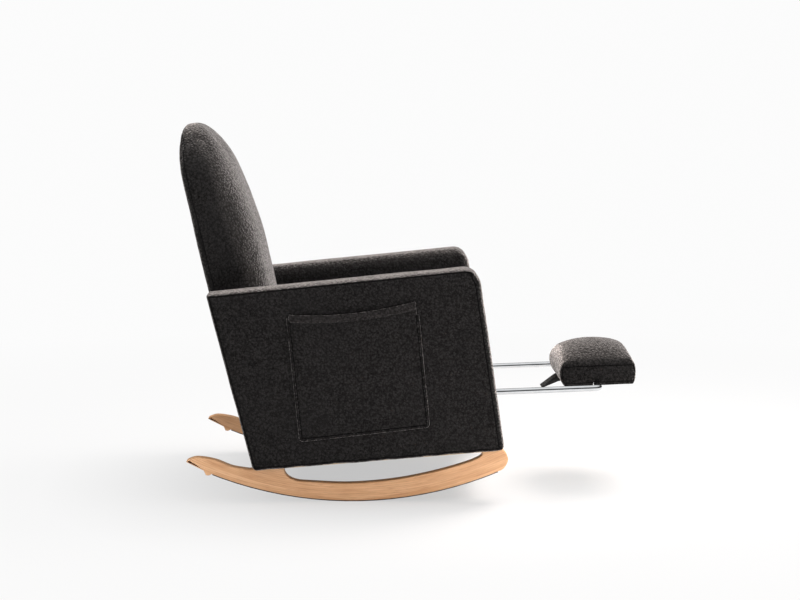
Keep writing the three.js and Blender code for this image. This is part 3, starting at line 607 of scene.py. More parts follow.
def stitch_tree():
    """Stitches along a path: a length of thread at every pitch, laid along the path."""
    values = {"Pitch": 5 * MM, "Length": 3.2 * MM, "Thread": 0.45 * MM}
    tree, given, result = new_tree("Stitch row", values)
    path = add(tree, "GeometryNodeMeshToCurve", {0: given["Geometry"]})
    inputs = {"Curve": path, "Length": given["Pitch"]}
    spaced = add(tree, "GeometryNodeResampleCurve", inputs, mode="LENGTH")
    half = add(tree, MATH, {0: given["Length"], 1: 0.5}, operation="MULTIPLY")
    back = add(tree, MATH, {0: half, 1: -1.0}, operation="MULTIPLY")
    low = add(tree, "ShaderNodeCombineXYZ", {"Z": back})
    high = add(tree, "ShaderNodeCombineXYZ", {"Z": half})
    line = add(tree, "GeometryNodeCurvePrimitiveLine", {"Start": low, "End": high})
    inputs = {"Resolution": 6, "Radius": given["Thread"]}
    ring = add(tree, "GeometryNodeCurvePrimitiveCircle", inputs)
    inputs = {"Curve": line, "Profile Curve": ring, "Fill Caps": True}
    thread = add(tree, "GeometryNodeCurveToMesh", inputs)
    tangent = add(tree, "GeometryNodeInputTangent")
    turn = add(tree, "FunctionNodeAlignRotationToVector", {"Vector": tangent}, axis="Z")
    inputs = {"Points": spaced, "Instance": thread, "Rotation": turn}
    row = add(tree, "GeometryNodeInstanceOnPoints", inputs)
    return finish_tree(tree, result, row, "thread")


def bent_tube_tree():
    """A bent tube: straight stretches with corners bent to a radius, and a round section."""
    tree, given, result = new_tree("Bent tube", {"Bend": 38 * MM, "Radius": 8 * MM})
    path = add(tree, "GeometryNodeMeshToCurve", {0: given["Geometry"]})
    inputs = {"Curve": path, "Radius": given["Bend"], "Count": 14, "Limit Radius": True}
    bent = add(tree, "GeometryNodeFilletCurve", inputs, mode="POLY")
    inputs = {"Resolution": 40, "Radius": given["Radius"]}
    ring = add(tree, "GeometryNodeCurvePrimitiveCircle", inputs)
    inputs = {"Curve": bent, "Profile Curve": ring, "Fill Caps": False}
    skin = add(tree, "GeometryNodeCurveToMesh", inputs)
    smooth = add(tree, "GeometryNodeSetShadeSmooth", {0: skin})
    return finish_tree(tree, result, smooth, "chrome")


TREES = {}


def grown(name, paths, maker, values, matrix):
    """The result of a geometry tree on paths of points in millimetres, as a plain mesh."""
    if maker not in TREES:
        TREES[maker] = maker()
    tree = TREES[maker]
    points = []
    edges = []
    for path, closed in paths:
        offset = len(points)
        points += path
        edges += [(offset + k, offset + k + 1) for k in range(len(path) - 1)]
        if closed:
            edges.append((offset + len(path) - 1, offset))
    obj = mesh_object(name, points, [], matrix, edges)
    modifier = obj.modifiers.new("grow", "NODES")
    modifier.node_group = tree
    for item in tree.interface.items_tree:
        if item.in_out == "INPUT" and item.name in values:
            modifier[item.identifier] = values[item.name] * MM
    return baked(obj)


# Padded pieces


def cushion(name, places_by_axis, form, matrix):
    """A padded piece from lattice places and a rule that gives the point for three places."""
    counts = [len(line) - 1 for line in places_by_axis]
    index, quads = lattice(counts)
    points = [form(*(line[k] for line, k in zip(places_by_axis, key))) for key in index]
    obj = mesh_object(name, points, quads, matrix)
    return obj, index, counts


def seam_shade_tubes(name, obj, seams, radius, body="chair"):
    """Painted shade along a piece's seam vertices: dark closed tubes laid in the crease."""
    vertices = obj.data.vertices
    paths = [([vertices[k].co / MM for k in seam], True) for seam in seams]
    dress(tube(name, paths, radius), "seam", body)


def clamp(value, low=0.0, high=1.0):
    """A value kept between two limits."""
    return min(max(value, low), high)


def smoothstep(value, low, high):
    """Nothing at the low value, one at the high value, with level ends."""
    t = clamp((value - low) / (high - low))
    return t * t * (3 - 2 * t)


def dome(x, y, half_x, half_y):
    """One at the middle of a cushion and nothing at its edges."""
    return max(1 - (x / half_x) ** 2, 0.0) * max(1 - (y / half_y) ** 2, 0.0)


def rounded_corner(dx, dz, radius):
    """Distances from two edges, after the corner between them is rounded."""
    if dx >= radius or dz >= radius:
        return dx, dz
    ring = min(dx, dz)
    turn = math.radians(45) * (radius - max(dx, dz)) / max(radius - ring, 1e-6)
    near = radius - (radius - ring) * math.cos(turn)
    far = radius - (radius - ring) * math.sin(turn)
    return (near, far) if dx <= dz else (far, near)


# Distances in millimetres of the lattice lines near each edge of an arm's outer face. Another line
# lies on the rolled edge itself, so the third of these is line 3, the seam.
ARM_LINES = {
    "front": (6.0, 12.0, 15.0, 18.0, 24.0, 32.0),
    "rear": (4.8, 6.0, 8.0, 10.5, 18.0, 32.0),
    "top": (2.4, 3.2, 4.1, 6.6, 17.0, 32.0),
    "foot": (4.8, 6.8, 9.2, 11.8, 19.0, 32.0),
}
ARM_SEAM_LINE = 3
ARM_EDGE = 32.0
# How far the edges roll over, in the plane of the side and across the arm
ARM_ROLLS = {
    "outer": {"front": 15.0, "rear": 9.0, "top": 6.0, "foot": 9.0},
    "inner": {"front": 20.0, "rear": 12.0, "top": 28.0, "foot": 12.0},
}
ARM_DEPTHS = {"outer": 22.0, "inner": 30.0}
ARM_CORNERS = {
    ("front", "top"): 40.0,
    ("rear", "top"): 8.0,
    ("front", "foot"): 13.0,
    ("rear", "foot"): 13.0,
}


def arm_lines(low, high, cells):
    """Lattice lines between two edges: an edge's name and the distance from it, or a share."""
    lines = [(low, None)] + [(low, d) for d in ARM_LINES[low]]
    lines += [("middle", k / cells) for k in range(1, cells)]
    return lines + [(high, d) for d in reversed(ARM_LINES[high])] + [(high, None)]


def arm_place(line, insets, low, high):
    """Where a lattice line lies between two edges; the lines near an edge start from its inset."""
    edge, value = line
    if edge == "middle":
        return low + ARM_EDGE + value * (high - low - 2 * ARM_EDGE)
    inset = insets[edge]
    if value is not None:
        first = ARM_ROLLS["outer"][edge] * (1 - math.cos(math.radians(45)))
        inset += (value - first) / (ARM_EDGE - first) * (ARM_EDGE - inset)
    return low + inset if edge in ("rear", "foot") else high - inset


def arm_cover(side, sign, sizes):
    """Padded cover of one arm: a band round the edge, and a flat panel seamed in on the outside."""
    x_lines = arm_lines("rear", "front", 64)
    z_lines = arm_lines("foot", "top", 46)
    y_lines = list(range(15))
    rise = sizes.arm_crown / MM
    half = (ARM_OUTSIDE - ARM_INSIDE) / 2
    middle = sign * (ARM_OUTSIDE + ARM_INSIDE) / 2
    faces = {-sign: "inner", sign: "outer"}
    flats = [end * (half - ARM_DEPTHS[faces[end]]) for end in (-1, 1)]

    def form(x_line, y_line, z_line):
        outward = -1 if y_line < 7 else 1
        rolls, depth = ARM_ROLLS[faces[outward]], ARM_DEPTHS[faces[outward]]
        turn = math.radians((45, 22, 0)[min(y_line, 14 - y_line, 2)])
        insets = {edge: roll * (1 - math.cos(turn)) for edge, roll in rolls.items()}
        y = outward * (half - depth * (1 - math.sin(turn)))
        if 2 < y_line < 12:
            y = flats[0] + (flats[1] - flats[0]) * (y_line - 2) / 10
        z = ARM_TOP / 2
        for _ in range(3):
            x = arm_place(x_line, insets, rear_x(z), front_x(z))
            z = arm_place(z_line, insets, foot_z(x), ARM_TOP)
        ends = {"rear": x - rear_x(z), "front": front_x(z) - x}
        levels = {"foot": z - foot_z(x), "top": ARM_TOP - z}
        end, level = min(ends, key=ends.get), min(levels, key=levels.get)
        dx, dz = rounded_corner(ends[end], levels[level], ARM_CORNERS[end, level])
        x = rear_x(z) + dx if end == "rear" else front_x(z) - dx
        z = foot_z(x) + dz if level == "foot" else ARM_TOP - dz
        if y_line in (0, 14):
            turn = math.acos(clamp(1 - min(dx / rolls[end], dz / rolls[level])))
            y = outward * (half - depth * (1 - math.sin(turn)))
        crown = rise * (1 - (y / half) ** 2) if levels["top"] < 12 else 0.0
        wave = noise.noise(Vector((x / 26, sign * 3.0, 0.5)))
        wave += 0.5 * noise.noise(Vector((x / 9, sign, 4.5)))
        crown -= 1.8 * wave * (1 - smoothstep(levels["foot"], 6, 26))
        return [x, middle + y, z + crown]

    lines = [x_lines, y_lines, z_lines]
    obj, index, counts = cushion(f"arm_cover_{side}_padded", lines, form, CHAIR)
    line = ARM_SEAM_LINE
    spans = ((line, counts[0] - line), (line, counts[2] - line))
    seams = [[index[key] for key in window(1, 0 if sign < 0 else counts[1], spans)]]
    pinch(obj, seams, 3.2)
    subdivided(obj)
    ripple(obj, 0.9, 70, 5 + sign)
    ripple(obj, 0.35, 18, 9 + sign)
    dress(obj, "boucle", "chair")
    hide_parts(f"arm_cover_{side}")
    seam_shade_tubes(f"arm_seam_shade_{side}", obj, seams, 1.5)


SEAT_SIZE = (526.0, 466.4, 60.0)
SEAT_REACH = (24.0, 24.0, 22.0)
SEAT_X = 119.0
SEAT_Z = 394.6


def seat_cushion(sizes):
    """Loose seat cushion: crowned top, boxed sides, seams round the top and foot of the border."""
    half = [side / 2 for side in SEAT_SIZE]
    crown = sizes.seat_crown / MM
    lines = [
        places(SEAT_SIZE[0], (0, 5, 11, 18, 26), 9),
        places(SEAT_SIZE[1], (0, 5, 11, 18, 26), 9),
        places(SEAT_SIZE[2], (0, 4, 9, 15), 8),
    ]

    def form(x, y, z):
        x, y, z = round_block([x - half[0], y - half[1], z - half[2]], half, SEAT_REACH)
        lift = crown * dome(x, y, half[0], half[1]) * max(z / SEAT_SIZE[2] + 0.5, 0.0)
        return [x + SEAT_X, y, z + lift + SEAT_Z]

    obj, index, counts = cushion("seat_cushion_filled", lines, form, CHAIR)
    seams = [[index[key] for key in belt(counts, 2, k)] for k in (1, counts[2] - 1)]
    held = set(k for seam in seams for k in seam)
    held |= set(k for key, k in index.items() if key[2] <= 1)
    inflate(obj, held, 4.0, 14.0)
    pinch(obj, seams, 2.2)
    subdivided(obj)
    ripple(obj, 1.2, 90, 3)
    dress(obj, "boucle", "chair")
    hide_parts("seat_cushion")
    seam_shade_tubes("seat_cushion_seam_shade", obj, seams, 0.9)


BACK_THICKNESS = 147.0
BACK_HEIGHT = 433.0
BACK_BELOW = 200.0
BACK_HALF = 245.0
BACK_CORNER = 185.0


def back_depth(up):
    """How far the front of the back stands off its rear plane, in millimetres."""
    return BACK_THICKNESS * (1 - 0.39 * clamp(up / BACK_HEIGHT) ** 1.5)


def back_cushion(sizes):
    """The high back: one padded front wrapped round the sides, seamed to a flat rear panel."""
    height = BACK_HEIGHT + BACK_BELOW
    crown = sizes.back_crown / MM
    half = (BACK_THICKNESS / 2, BACK_HALF, height / 2)
    lines = [
        places(BACK_THICKNESS, (0, 6, 12, 16, 19, 22, 30, 44), 9),
        places(2 * BACK_HALF, (0, 7, 15, 25, 37, 50), 10),
        places(height, (0, 8, 17, 28, 40, 54), 10),
    ]
    rear_turn = math.tan(math.atan(RAKE) - BACK_LEAN)

    def form(x, y, z):
        x, y, z = x - half[0], y - half[1], z - half[2]
        share = x / BACK_THICKNESS + 0.5
        wide = 22 + 92 * smoothstep(share, 0.1, 0.9)
        rear_round = 20 + 34 * smoothstep(z / half[2], 0.6, 1.0)
        reach = (74.0 if x > 0 else rear_round, wide, 127.0 if z > 0 else 16.0)
        x, y, z = round_block([x, y, z], half, reach)
        up = z + height / 2 - BACK_BELOW
        share = x / BACK_THICKNESS + 0.5
        rear = -up * rear_turn if up < 0 else 0.0
        lift = max(crown * dome(y, up - BACK_HEIGHT / 2, BACK_HALF, height) * share, 0.0)
        narrow = smoothstep(up, 12, 58)
        wide = ARM_INSIDE - 1.5 + (BACK_HALF - ARM_INSIDE + 1.5) * narrow
        over = max(up - (BACK_HEIGHT - BACK_CORNER), 0.0)
        drawn = BACK_CORNER - math.sqrt(max(BACK_CORNER**2 - over**2, 0.0))
        rise = 6 * smoothstep(up, 280, BACK_HEIGHT)
        x = rear + share * (back_depth(up) - rear) + lift
        return [x, y * (wide - drawn) / BACK_HALF, up + rise]

    obj, index, counts = cushion("back_cushion_filled", lines, form, BACK)
    seam_line = 4
    seams = [[index[key] for key in belt(counts, 0, seam_line)]]
    local = BACK.inverted()
    low = set(v.index for v in obj.data.vertices if (local @ v.co).z < 0.03)
    held = low | set(seams[0]) | set(k for key, k in index.items() if key[0] <= seam_line)
    inflate(obj, held, 2.5, 7.0, 12)
    pinch(obj, seams, 1.8)
    subdivided(obj)
    ripple(obj, 1.4, 110, 11)
    ripple(obj, 0.4, 22, 12)
    dress(obj, "boucle", "chair")
    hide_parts("back_cushion")
    seam_shade_tubes("back_cushion_seam_shade", obj, seams, 1.0)


PAD_SIZE = (193.0, 300.0, 58.0)
PAD_SHIFT = 7.0
PAD_RIM = 8.0
# Foot of the rim, and the recess inside it that holds the board, from the crossbar's middle
PAD_FOOT = -4.5
PAD_RECESS = 20.5
# Radius of the groove that the crossbar lies in
PAD_GROOVE = 8.3


def pad_cushion(sizes):
    """The footrest pad: a domed wrap, an end panel seamed in at each side, a recess below."""
    half = [side / 2 for side in PAD_SIZE]
    crown = sizes.pad_crown / MM
    rim = (PAD_RIM - 0.8, PAD_RIM + 0.8)
    front = [PAD_SIZE[0] - d for d in (18, 12, rim[1], rim[0], 3.5, 0)]
    groove = half[0] - PAD_SHIFT
    ring = [groove + d for d in (-12, -8.8, -8.2, -7.6, -5.5, 0, 5.5, 7.6, 8.2, 8.8, 12)]
    x_lines = [0, 3.5, *rim, 12, 18, 26, 34, 42, 50, 58, 67] + ring
    x_lines += [ring[-1] + 9 * k for k in range(1, 8)] + front
    y_lines = places(PAD_SIZE[1], (0, 4, *rim, 12, 18), 9)
    z_lines = [0, 4, 10, 17, 24, 31, 38, 43, 48, 54, 58]

    def form(x, y, z):
        flat = z == 0
        edge = min(x, PAD_SIZE[0] - x, y, PAD_SIZE[1] - y)
        along = x - half[0] + PAD_SHIFT
        x, y, z = x - half[0], y - half[1], z - half[2]
        reach = (14.0, 12.0, 20.0 if z > 0 else 3.0)
        x, y, z = round_block([x, y, z], half, reach)
        up = z + half[2]
        flat_top = max(1 - (x / half[0]) ** 2, 0.0) ** 0.36
        flat_top *= max(1 - (y / half[1]) ** 2, 0.0) ** 0.8
        lift = crown * flat_top * up / PAD_SIZE[2]
        if flat and edge > PAD_RIM:
            up = PAD_RECESS
        elif flat:
            in_groove = abs(along) < PAD_GROOVE
            up = math.sqrt(PAD_GROOVE**2 - along**2) if in_groove else PAD_FOOT
        swell = 1 + (0.075 if x < 0 else 0.035) * math.sin(math.pi * clamp(up / PAD_SIZE[2]))
        return [x * swell + PAD_SHIFT, y, up + lift]

    lines = [x_lines, y_lines, z_lines]
    obj, index, counts = cushion("footrest_pad_filled", lines, form, FOOTREST)
    spans = ((1, counts[0] - 1), (1, counts[2] - 2))
    seams = [[index[key] for key in window(1, end, spans)] for end in (0, counts[1])]
    held = set(k for seam in seams for k in seam)
    held |= set(k for key, k in index.items() if key[2] <= 1)
    inflate(obj, held, 4.0, 8.0)
    pinch(obj, seams, 2.0)
    subdivided(obj)
    ripple(obj, 0.8, 60, 21)
    dress(obj, "boucle", "footrest_pad")
    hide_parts("footrest_pad")
    seam_shade_tubes("footrest_pad_seam_shade", obj, seams, 1.2, "footrest_pad")


# Sheets, straps and panels

POCKET_REAR = -112.8
POCKET_FRONT = 210.0
POCKET_FOOT = (182.2, 186.6)
POCKET_MOUTH = (504.4, 506.5)
POCKET_SAG = 13.0
POCKET_CORNER = 5.0
POCKET_HEM = 20.0
POCKET_WIDTH = POCKET_FRONT - POCKET_REAR
POCKET_HEIGHT = 321.0
POCKET_GAP = 1.3


def pocket_foot(share):
    """Level of the pocket's foot, at a share of its width."""
    return POCKET_FOOT[0] + (POCKET_FOOT[1] - POCKET_FOOT[0]) * share


def pocket_level(share, rise):
    """Level at a share of the pocket's width and of its height; the mouth sags."""
    foot = pocket_foot(share)
    mouth = POCKET_MOUTH[0] + (POCKET_MOUTH[1] - POCKET_MOUTH[0]) * share
    return foot + rise * (mouth - 4 * POCKET_SAG * share * (1 - share) - foot)


def pocket_bulge(stand, share, rise):
    """How far the cloth stands off the arm."""
    return stand * math.sqrt(max(math.sin(math.pi * clamp(share)), 0.0)) * rise**1.3


def pocket_edge(distance, y):
    """The pocket's edge from the rear of the mouth round the foot to the front, moved outward."""
    rear, front = POCKET_REAR - distance, POCKET_FRONT + distance
    low_rear, low_front = POCKET_FOOT[0] - distance, POCKET_FOOT[1] - distance
    radius = POCKET_CORNER + distance
    levels = [POCKET_MOUTH[0] - 8.0 * k for k in range(1, 36)]
    path = [(rear, y, level) for level in levels if level > 180 + radius]
    turns = [math.radians(90) * k / 8 for k in range(9)]
    for turn in turns:
        x = rear + radius * (1 - math.cos(turn))
        path.append((x, y, low_rear + radius * (1 - math.sin(turn))))
    for k in range(1, 32):
        share = k / 32
        x = rear + radius + share * (front - rear - 2 * radius)
        path.append((x, y, low_rear + (low_front - low_rear) * share))
    for turn in turns:
        x = front - radius * (1 - math.sin(turn))
        path.append((x, y, low_front + radius * (1 - math.cos(turn))))
    levels = [low_front + radius + 8.0 * k for k in range(1, 36)]
    return path + [(front, y, level) for level in levels if level < POCKET_MOUTH[1] - 4]


def side_pocket(side, sign, sizes):
    """Cloth pocket sewn on the outside of an arm: it stands off at its sagging, hemmed mouth."""
    stand = sizes.pocket_bulge / MM
    hem = (POCKET_HEIGHT - POCKET_HEM) / POCKET_HEIGHT
    x_lines = places(POCKET_WIDTH, (0, 3, 8, 16, 26), 8)
    z_lines = [0, 3, 8, 16, 26] + [26 + 7.7 * k for k in range(1, 35)]
    z_lines += [POCKET_HEIGHT - d for d in (21.5, 20, 18, 14, 9.5, 5, 1.5, 0)]

    def form(x, y, z):
        dx, dz = rounded_corner(min(x, POCKET_WIDTH - x), z, POCKET_CORNER)
        flat_x = POCKET_FRONT - dx if x > POCKET_WIDTH / 2 else POCKET_REAR + dx
        share = (flat_x - POCKET_REAR) / POCKET_WIDTH
        rise = dz / POCKET_HEIGHT
        ease = smoothstep(min(dx, dz), 0, 9)
        off = POCKET_GAP + pocket_bulge(stand, share, rise) + y * (1.2 + 1.6 * ease)
        top = POCKET_HEIGHT - z
        if y and top < POCKET_HEM + 2:
            off += 4.5 * math.sqrt(max(math.sin(math.pi * clamp(top / POCKET_HEM)), 0.0))
        return [flat_x, sign * (ARM_OUTSIDE + off), pocket_level(share, rise)]

    obj, _, _ = cushion(f"side_pocket_{side}_cloth", [x_lines, [0.0, 1.0], z_lines], form, CHAIR)
    if sign < 0:
        obj.data.flip_normals()
    subdivided(obj)
    dress(obj, "boucle", "chair")
    # The hem's faces get the lighter copy of the boucle: painted light on the hem band.
    obj.data.materials.append(finish("hem_painted_light"))
    local = CHAIR.inverted()
    for polygon in obj.data.polygons:
        place = (local @ polygon.center) / MM
        share = (place.x - POCKET_REAR) / POCKET_WIDTH
        polygon.material_index = 1 if place.z > pocket_level(share, hem) else 0
    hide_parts(f"side_pocket_{side}")

    path = pocket_edge(3.0, sign * (ARM_OUTSIDE + 1.9))
    piping = tube(f"pocket_piping_{side}_cloth", [(path, False)], 3.1, 10, CHAIR)
    dress(piping, "boucle", "chair")
    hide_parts(f"pocket_piping_{side}")
    # A dark tube just inside the piping: painted shade between the piping and the pocket panel.
    path = pocket_edge(-1.2, sign * (ARM_OUTSIDE + 2.6))
    pocket_shade_tube = tube(f"pocket_seam_shade_{side}", [(path, False)], 1.4, 6, CHAIR)
    dress(pocket_shade_tube, "seam", "chair")

    path = []
    for k in range(1, 64):
        share = k / 64
        off = POCKET_GAP + pocket_bulge(stand, share, hem) + 2.9
        x = POCKET_REAR + POCKET_WIDTH * share
        path.append((x, sign * (ARM_OUTSIDE + off + 0.4), pocket_level(share, hem)))
    stitches = grown(f"pocket_stitches_{side}", [(path, False)], stitch_tree, {}, CHAIR)
    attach(stitches, "chair")


def flat_panel(name, level, spans, matrix, thick, sag, pitch=14.0):
    """A thin panel of cloth at a level, between two places along x and y, thinner at its edges."""
    (x0, x1), (y0, y1) = spans
    wide, deep = x1 - x0, y1 - y0

    def form(x, y, z):
        share = dome(x - wide / 2, y - deep / 2, wide / 2, deep / 2)
        ease = 0.5 + 0.5 * smoothstep(min(x, wide - x, y, deep - y), 0, 3)
        return [x0 + x, y0 + y, level + (z - 0.5) * thick * ease + sag * share]

    lines = [places(wide, (0, 2, 6), pitch), places(deep, (0, 2, 6), pitch), [0.0, 1.0]]
    return subdivided(cushion(name, lines, form, matrix)[0])


def lining_sheets():
    """Deck cloth on the seat springs, and the dust cloth tacked under the body."""
    across = (-LINING_HALF, LINING_HALF)
    spans = ((-229.0, BODY_FRONT), across)
    deck = flat_panel("seat_deck_cloth", 363.3, spans, CHAIR, 1.6, -1.0)
    dress(deck, "lining", "chair")
    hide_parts("seat_deck")
    rear = rear_x(105.9) + 10.3 * math.hypot(1, RAKE) + 1.5
    matrix = placed(CHAIR, 0, foot_z(0), math.atan(SLOPE))
    spans = ((rear, BODY_FRONT), across)
    dust = flat_panel("dust_cover_cloth", 1.0, spans, matrix, 1.2, 1.2)
    dress(dust, "lining", "chair")
    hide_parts("dust_cover")
    inset = 9.0
    x0, x1, side = rear + inset, BODY_FRONT - inset, LINING_HALF - inset
    corners = [(x0, -side), (x1, -side), (x1, side), (x0, side)]
    corners = [Vector((x, y, -0.1)) for x, y in corners]
    ends = zip(corners, corners[1:] + corners[:1])
    loop = [here.lerp(there, k / 12) for here, there in ends for k in range(12)]
    values = {"Pitch": 38.0, "Length": 10.0, "Thread": 0.6}
    staples = grown("dust_cover_staples", [(loop, True)], stitch_tree, values, matrix)
    staples.data.materials.clear()
    staples.data.materials.append(finish("zinc"))
    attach(staples, "chair")


# Up to the back cushion's foot, so that no wood shows between them
REAR_PANEL_TOP = 368.5


def boucle_panels():
    """The padded rear panel between the arms, and the apron below the front of the seat cushion."""
    across = (-LINING_HALF, LINING_HALF)
    foot = foot_z(-246.2) + 0.3
    spans = ((0.0, (REAR_PANEL_TOP - foot) * math.hypot(1, RAKE)), across)
    matrix = placed(CHAIR, rear_x(foot) + 5.1, foot, -math.pi / 2 - math.atan(RAKE))
    rear = flat_panel("rear_panel_padded", 0, spans, matrix, 9.4, 0.0)
    ripple(rear, 0.9, 80, 31)
    dress(rear, "boucle", "chair")
    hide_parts("rear_panel")
    matrix = placed(CHAIR, 379.2, 336.0, -math.pi / 2)
    apron = flat_panel("seat_apron_padded", 0, ((0.0, 28.0), across), matrix, 9.0, 0.0, 7.0)
    dress(apron, "boucle", "chair")
    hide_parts("seat_apron")


def back_straps():
    """Webbing across the back frame, inside the cushion."""
    for number, share in enumerate((-0.25, 0.3, 0.65), start=1):
        up = share * 380.0
        x = back_depth(up) - 40.2
        lean = math.atan((back_depth(up + 25) - back_depth(up - 25)) / 50.0)
        matrix = placed(BACK, x, up, math.pi / 2 + lean)
        spans = ((-24.5, 24.5), (-210.0, 210.0))
        strap = flat_panel(f"back_strap_{number}", 0, spans, matrix, 1.4, 0.0, 7.0)
        dress(strap, "webbing", "chair")
        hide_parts(f"back_webbing_{number}")


TAB_WIDTH = 50.0
TAB_LENGTH = 60.0
# How much of the tab lies under the pad, and how much of it hangs
TAB_TUCK = 8.0
TAB_HANG = 50.0
TAB_DROP = math.radians(28)


def pull_tab():
    """Black webbing loop fixed under the rear rim of the pad, hanging behind it."""
    rear = PAD_SHIFT - PAD_SIZE[0] / 2
    y_lines = [0.0, 1.5, 4.0] + [4 + 6 * k for k in range(1, 7)] + [46.0, 48.5, TAB_WIDTH]
    lines = [[k / 16 for k in range(17)], y_lines, [0.0, 0.5, 1.0]]

    def form(t, y, z):
        share = clamp((t * TAB_LENGTH - TAB_TUCK) / TAB_HANG, -0.2, 1.04)
        edge = min(y, TAB_WIDTH - y, (1 - t) * TAB_LENGTH)
        thick = (18.0 - 13.0 * clamp(share)) * (0.45 + 0.55 * smoothstep(edge, 0, 3))
        lift = (z - 0.5) * thick
        slope = TAB_DROP if share > 0 else 0.0
        x = rear - share * TAB_HANG * math.cos(TAB_DROP) - lift * math.sin(slope)
        level = -1.75 - TAB_HANG * math.sin(TAB_DROP) * clamp(share)
        return [x, y - TAB_WIDTH / 2, level + lift * math.cos(slope)]

    obj, _, _ = cushion("pull_tab_webbing", lines, form, FOOTREST)
    obj.data.flip_normals()
    subdivided(obj)
    dress(obj, "webbing", "footrest_pad")
    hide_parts("pull_tab")


# Rails and tube


def spline(points, steps):
    """A uniform Catmull-Rom curve through points of the side view."""
    result = []
    ends = [points[0], *points, points[-1]]
    for near in zip(ends, ends[1:], ends[2:], ends[3:]):
        for i in range(steps):
            t = i / steps
            value = []
            for a, b, c, d in zip(*near):
                v0, v1 = (c - a) / 2, (d - b) / 2
                cube, square = 2 * b - 2 * c + v0 + v1, -3 * b + 3 * c - 2 * v0 - v1
                value.append(cube * t**3 + square * t**2 + v0 * t + b)
            result.append(tuple(value))
    return result + [points[-1]]


ARC_X = ROCK_RADIUS * math.sin(LEAN)
ARC_Z = ROCK_RADIUS * math.cos(LEAN)
RAIL_REAR = -354.0
RAIL_FRONT = 380.0
RAIL_Y = 300.0
RAIL_HALF = 14.0
# The strip lies below the rail, so the rail's own arc has a smaller radius
RAIL_RADIUS = ROCK_RADIUS - 2.3
# Points of the rail's outline: x, and height over the running arc
RAIL_NOSE = [(393, 2.6), (403.5, 10.6), (409, 22.3), (405.5, 38.5)]
RAIL_WAIST = [(338, 57.6), (294, 53.9), (209, 52.9), (109, 50.5), (-3, 47.7), (-105, 45.9)]
RAIL_WAIST += [(-142, 45.3), (-163, 54.8)]
RAIL_TAIL = [(-300, 42.6), (-342, 43.8), (-386, 31.7), (-410.5, 13.7), (-416.5, 5.0)]


def arc_z(x, radius):
    """Level of an arc about the rocking centre."""
    return ARC_Z - math.sqrt(radius**2 - (x - ARC_X) ** 2)


def rail_outline():
    """A rail's outline from the rear of its running arc, round its nose, waist and tail."""

    def seat(x):
        """A point on the rail's seat under the arm."""
        return (x, foot_z(x) - 0.3)

    def over_arc(line):
        """Points with their heights over the running arc made levels."""
        return [(x, arc_z(x, ROCK_RADIUS) + height) for x, height in line]

    arc = [RAIL_REAR + (RAIL_FRONT - RAIL_REAR) * k / 90 for k in range(91)]
    points = [(x, arc_z(x, RAIL_RADIUS)) for x in arc]
    points += spline([points[-1]] + over_arc(RAIL_NOSE) + [seat(396)], 6)[1:]
    points += [seat(396 - 13 * k) for k in range(1, 4)] + [seat(344)]
    points += spline([seat(344)] + over_arc(RAIL_WAIST) + [seat(-170)], 8)[1:]
    points += [seat(-170 - 22 * k) for k in range(1, 4)] + [seat(-258)]
    points += spline([seat(-258)] + over_arc(RAIL_TAIL), 8)[1:]
    stop = RAIL_REAR - 20
    foot = arc_z(RAIL_REAR, RAIL_RADIUS)
    points += [(stop, arc_z(stop, RAIL_RADIUS)), (stop + 4, foot - 1.5)]
    return points + [(stop + 9, foot - 3), (RAIL_REAR - 7, foot - 3)]


def filled(outline):
    """Triangles inside a loop of points of the side view."""
    loop = list(range(len(outline)))
    points = [Vector(point) for point in outline]
    _, _, faces, origins, _, _ = geometry.delaunay_2d_cdt(points, [], [loop], 1, 1e-4)
    known = [[origins[k][0] for k in face] for face in faces if all(origins[k] for k in face)]
    return [face for face in known if len(set(face)) == 3]


def rocker_rail(side, sign, sizes):
    """A rocker rail: flat sides, edges eased by a small round."""
    outline = rail_outline()
    count = len(outline)
    normals = []
    for k, here in enumerate(outline):
        before, after = Vector(outline[k - 1]), Vector(outline[(k + 1) % count])
        along = (after - before).normalized()
        normals.append(Vector((-along.y, along.x)))
    ease = sizes.rail_ease / MM
    rings = []
    for end in (-1, 1):
        turns = [math.radians(a) for a in (90, 60, 30, 0)]
        turns = turns if end < 0 else turns[::-1]
        for turn in turns:
            y = end * (RAIL_HALF - ease * (1 - math.sin(turn)))
            rings.append((y, ease * (1 - math.cos(turn))))
    points = []
    for y, inset in rings:
        for (x, z), normal in zip(outline, normals):
            place = (x + normal.x * inset, sign * RAIL_Y + y, z + normal.y * inset)
            points.append(place)
    faces = []
    for k in range(len(rings) - 1):
        for i in range(count):
            a, b = k * count + i, k * count + (i + 1) % count
            faces.append([a, b, b + count, a + count])
    last = (len(rings) - 1) * count
    flanks = filled([(point[0], point[2]) for point in points[:count]])
    ends = [face[::-1] for face in flanks] + [[last + k for k in face] for face in flanks]
    obj = mesh_object(f"rocker_rail_{side}_eased", points, faces + ends, CHAIR)
    for polygon in obj.data.polygons:
        polygon.use_smooth = polygon.index < len(faces)
    build = bmesh.new()
    build.from_mesh(obj.data)
    bmesh.ops.recalc_face_normals(build, faces=build.faces)
    build.to_mesh(obj.data)
    build.free()
    dress(obj, "rail", "chair")
    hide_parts(f"rocker_rail_{side}")


TUBE_RADIUS = 8.0
TUBE_BEND = 12.0
TUBE_HALF = 213.0
TUBE_LEG = 527.0
# The rear bar's place, and where it ends inside the legs
BAR_X = -513.3
BAR_HALF = TUBE_HALF - 8.3


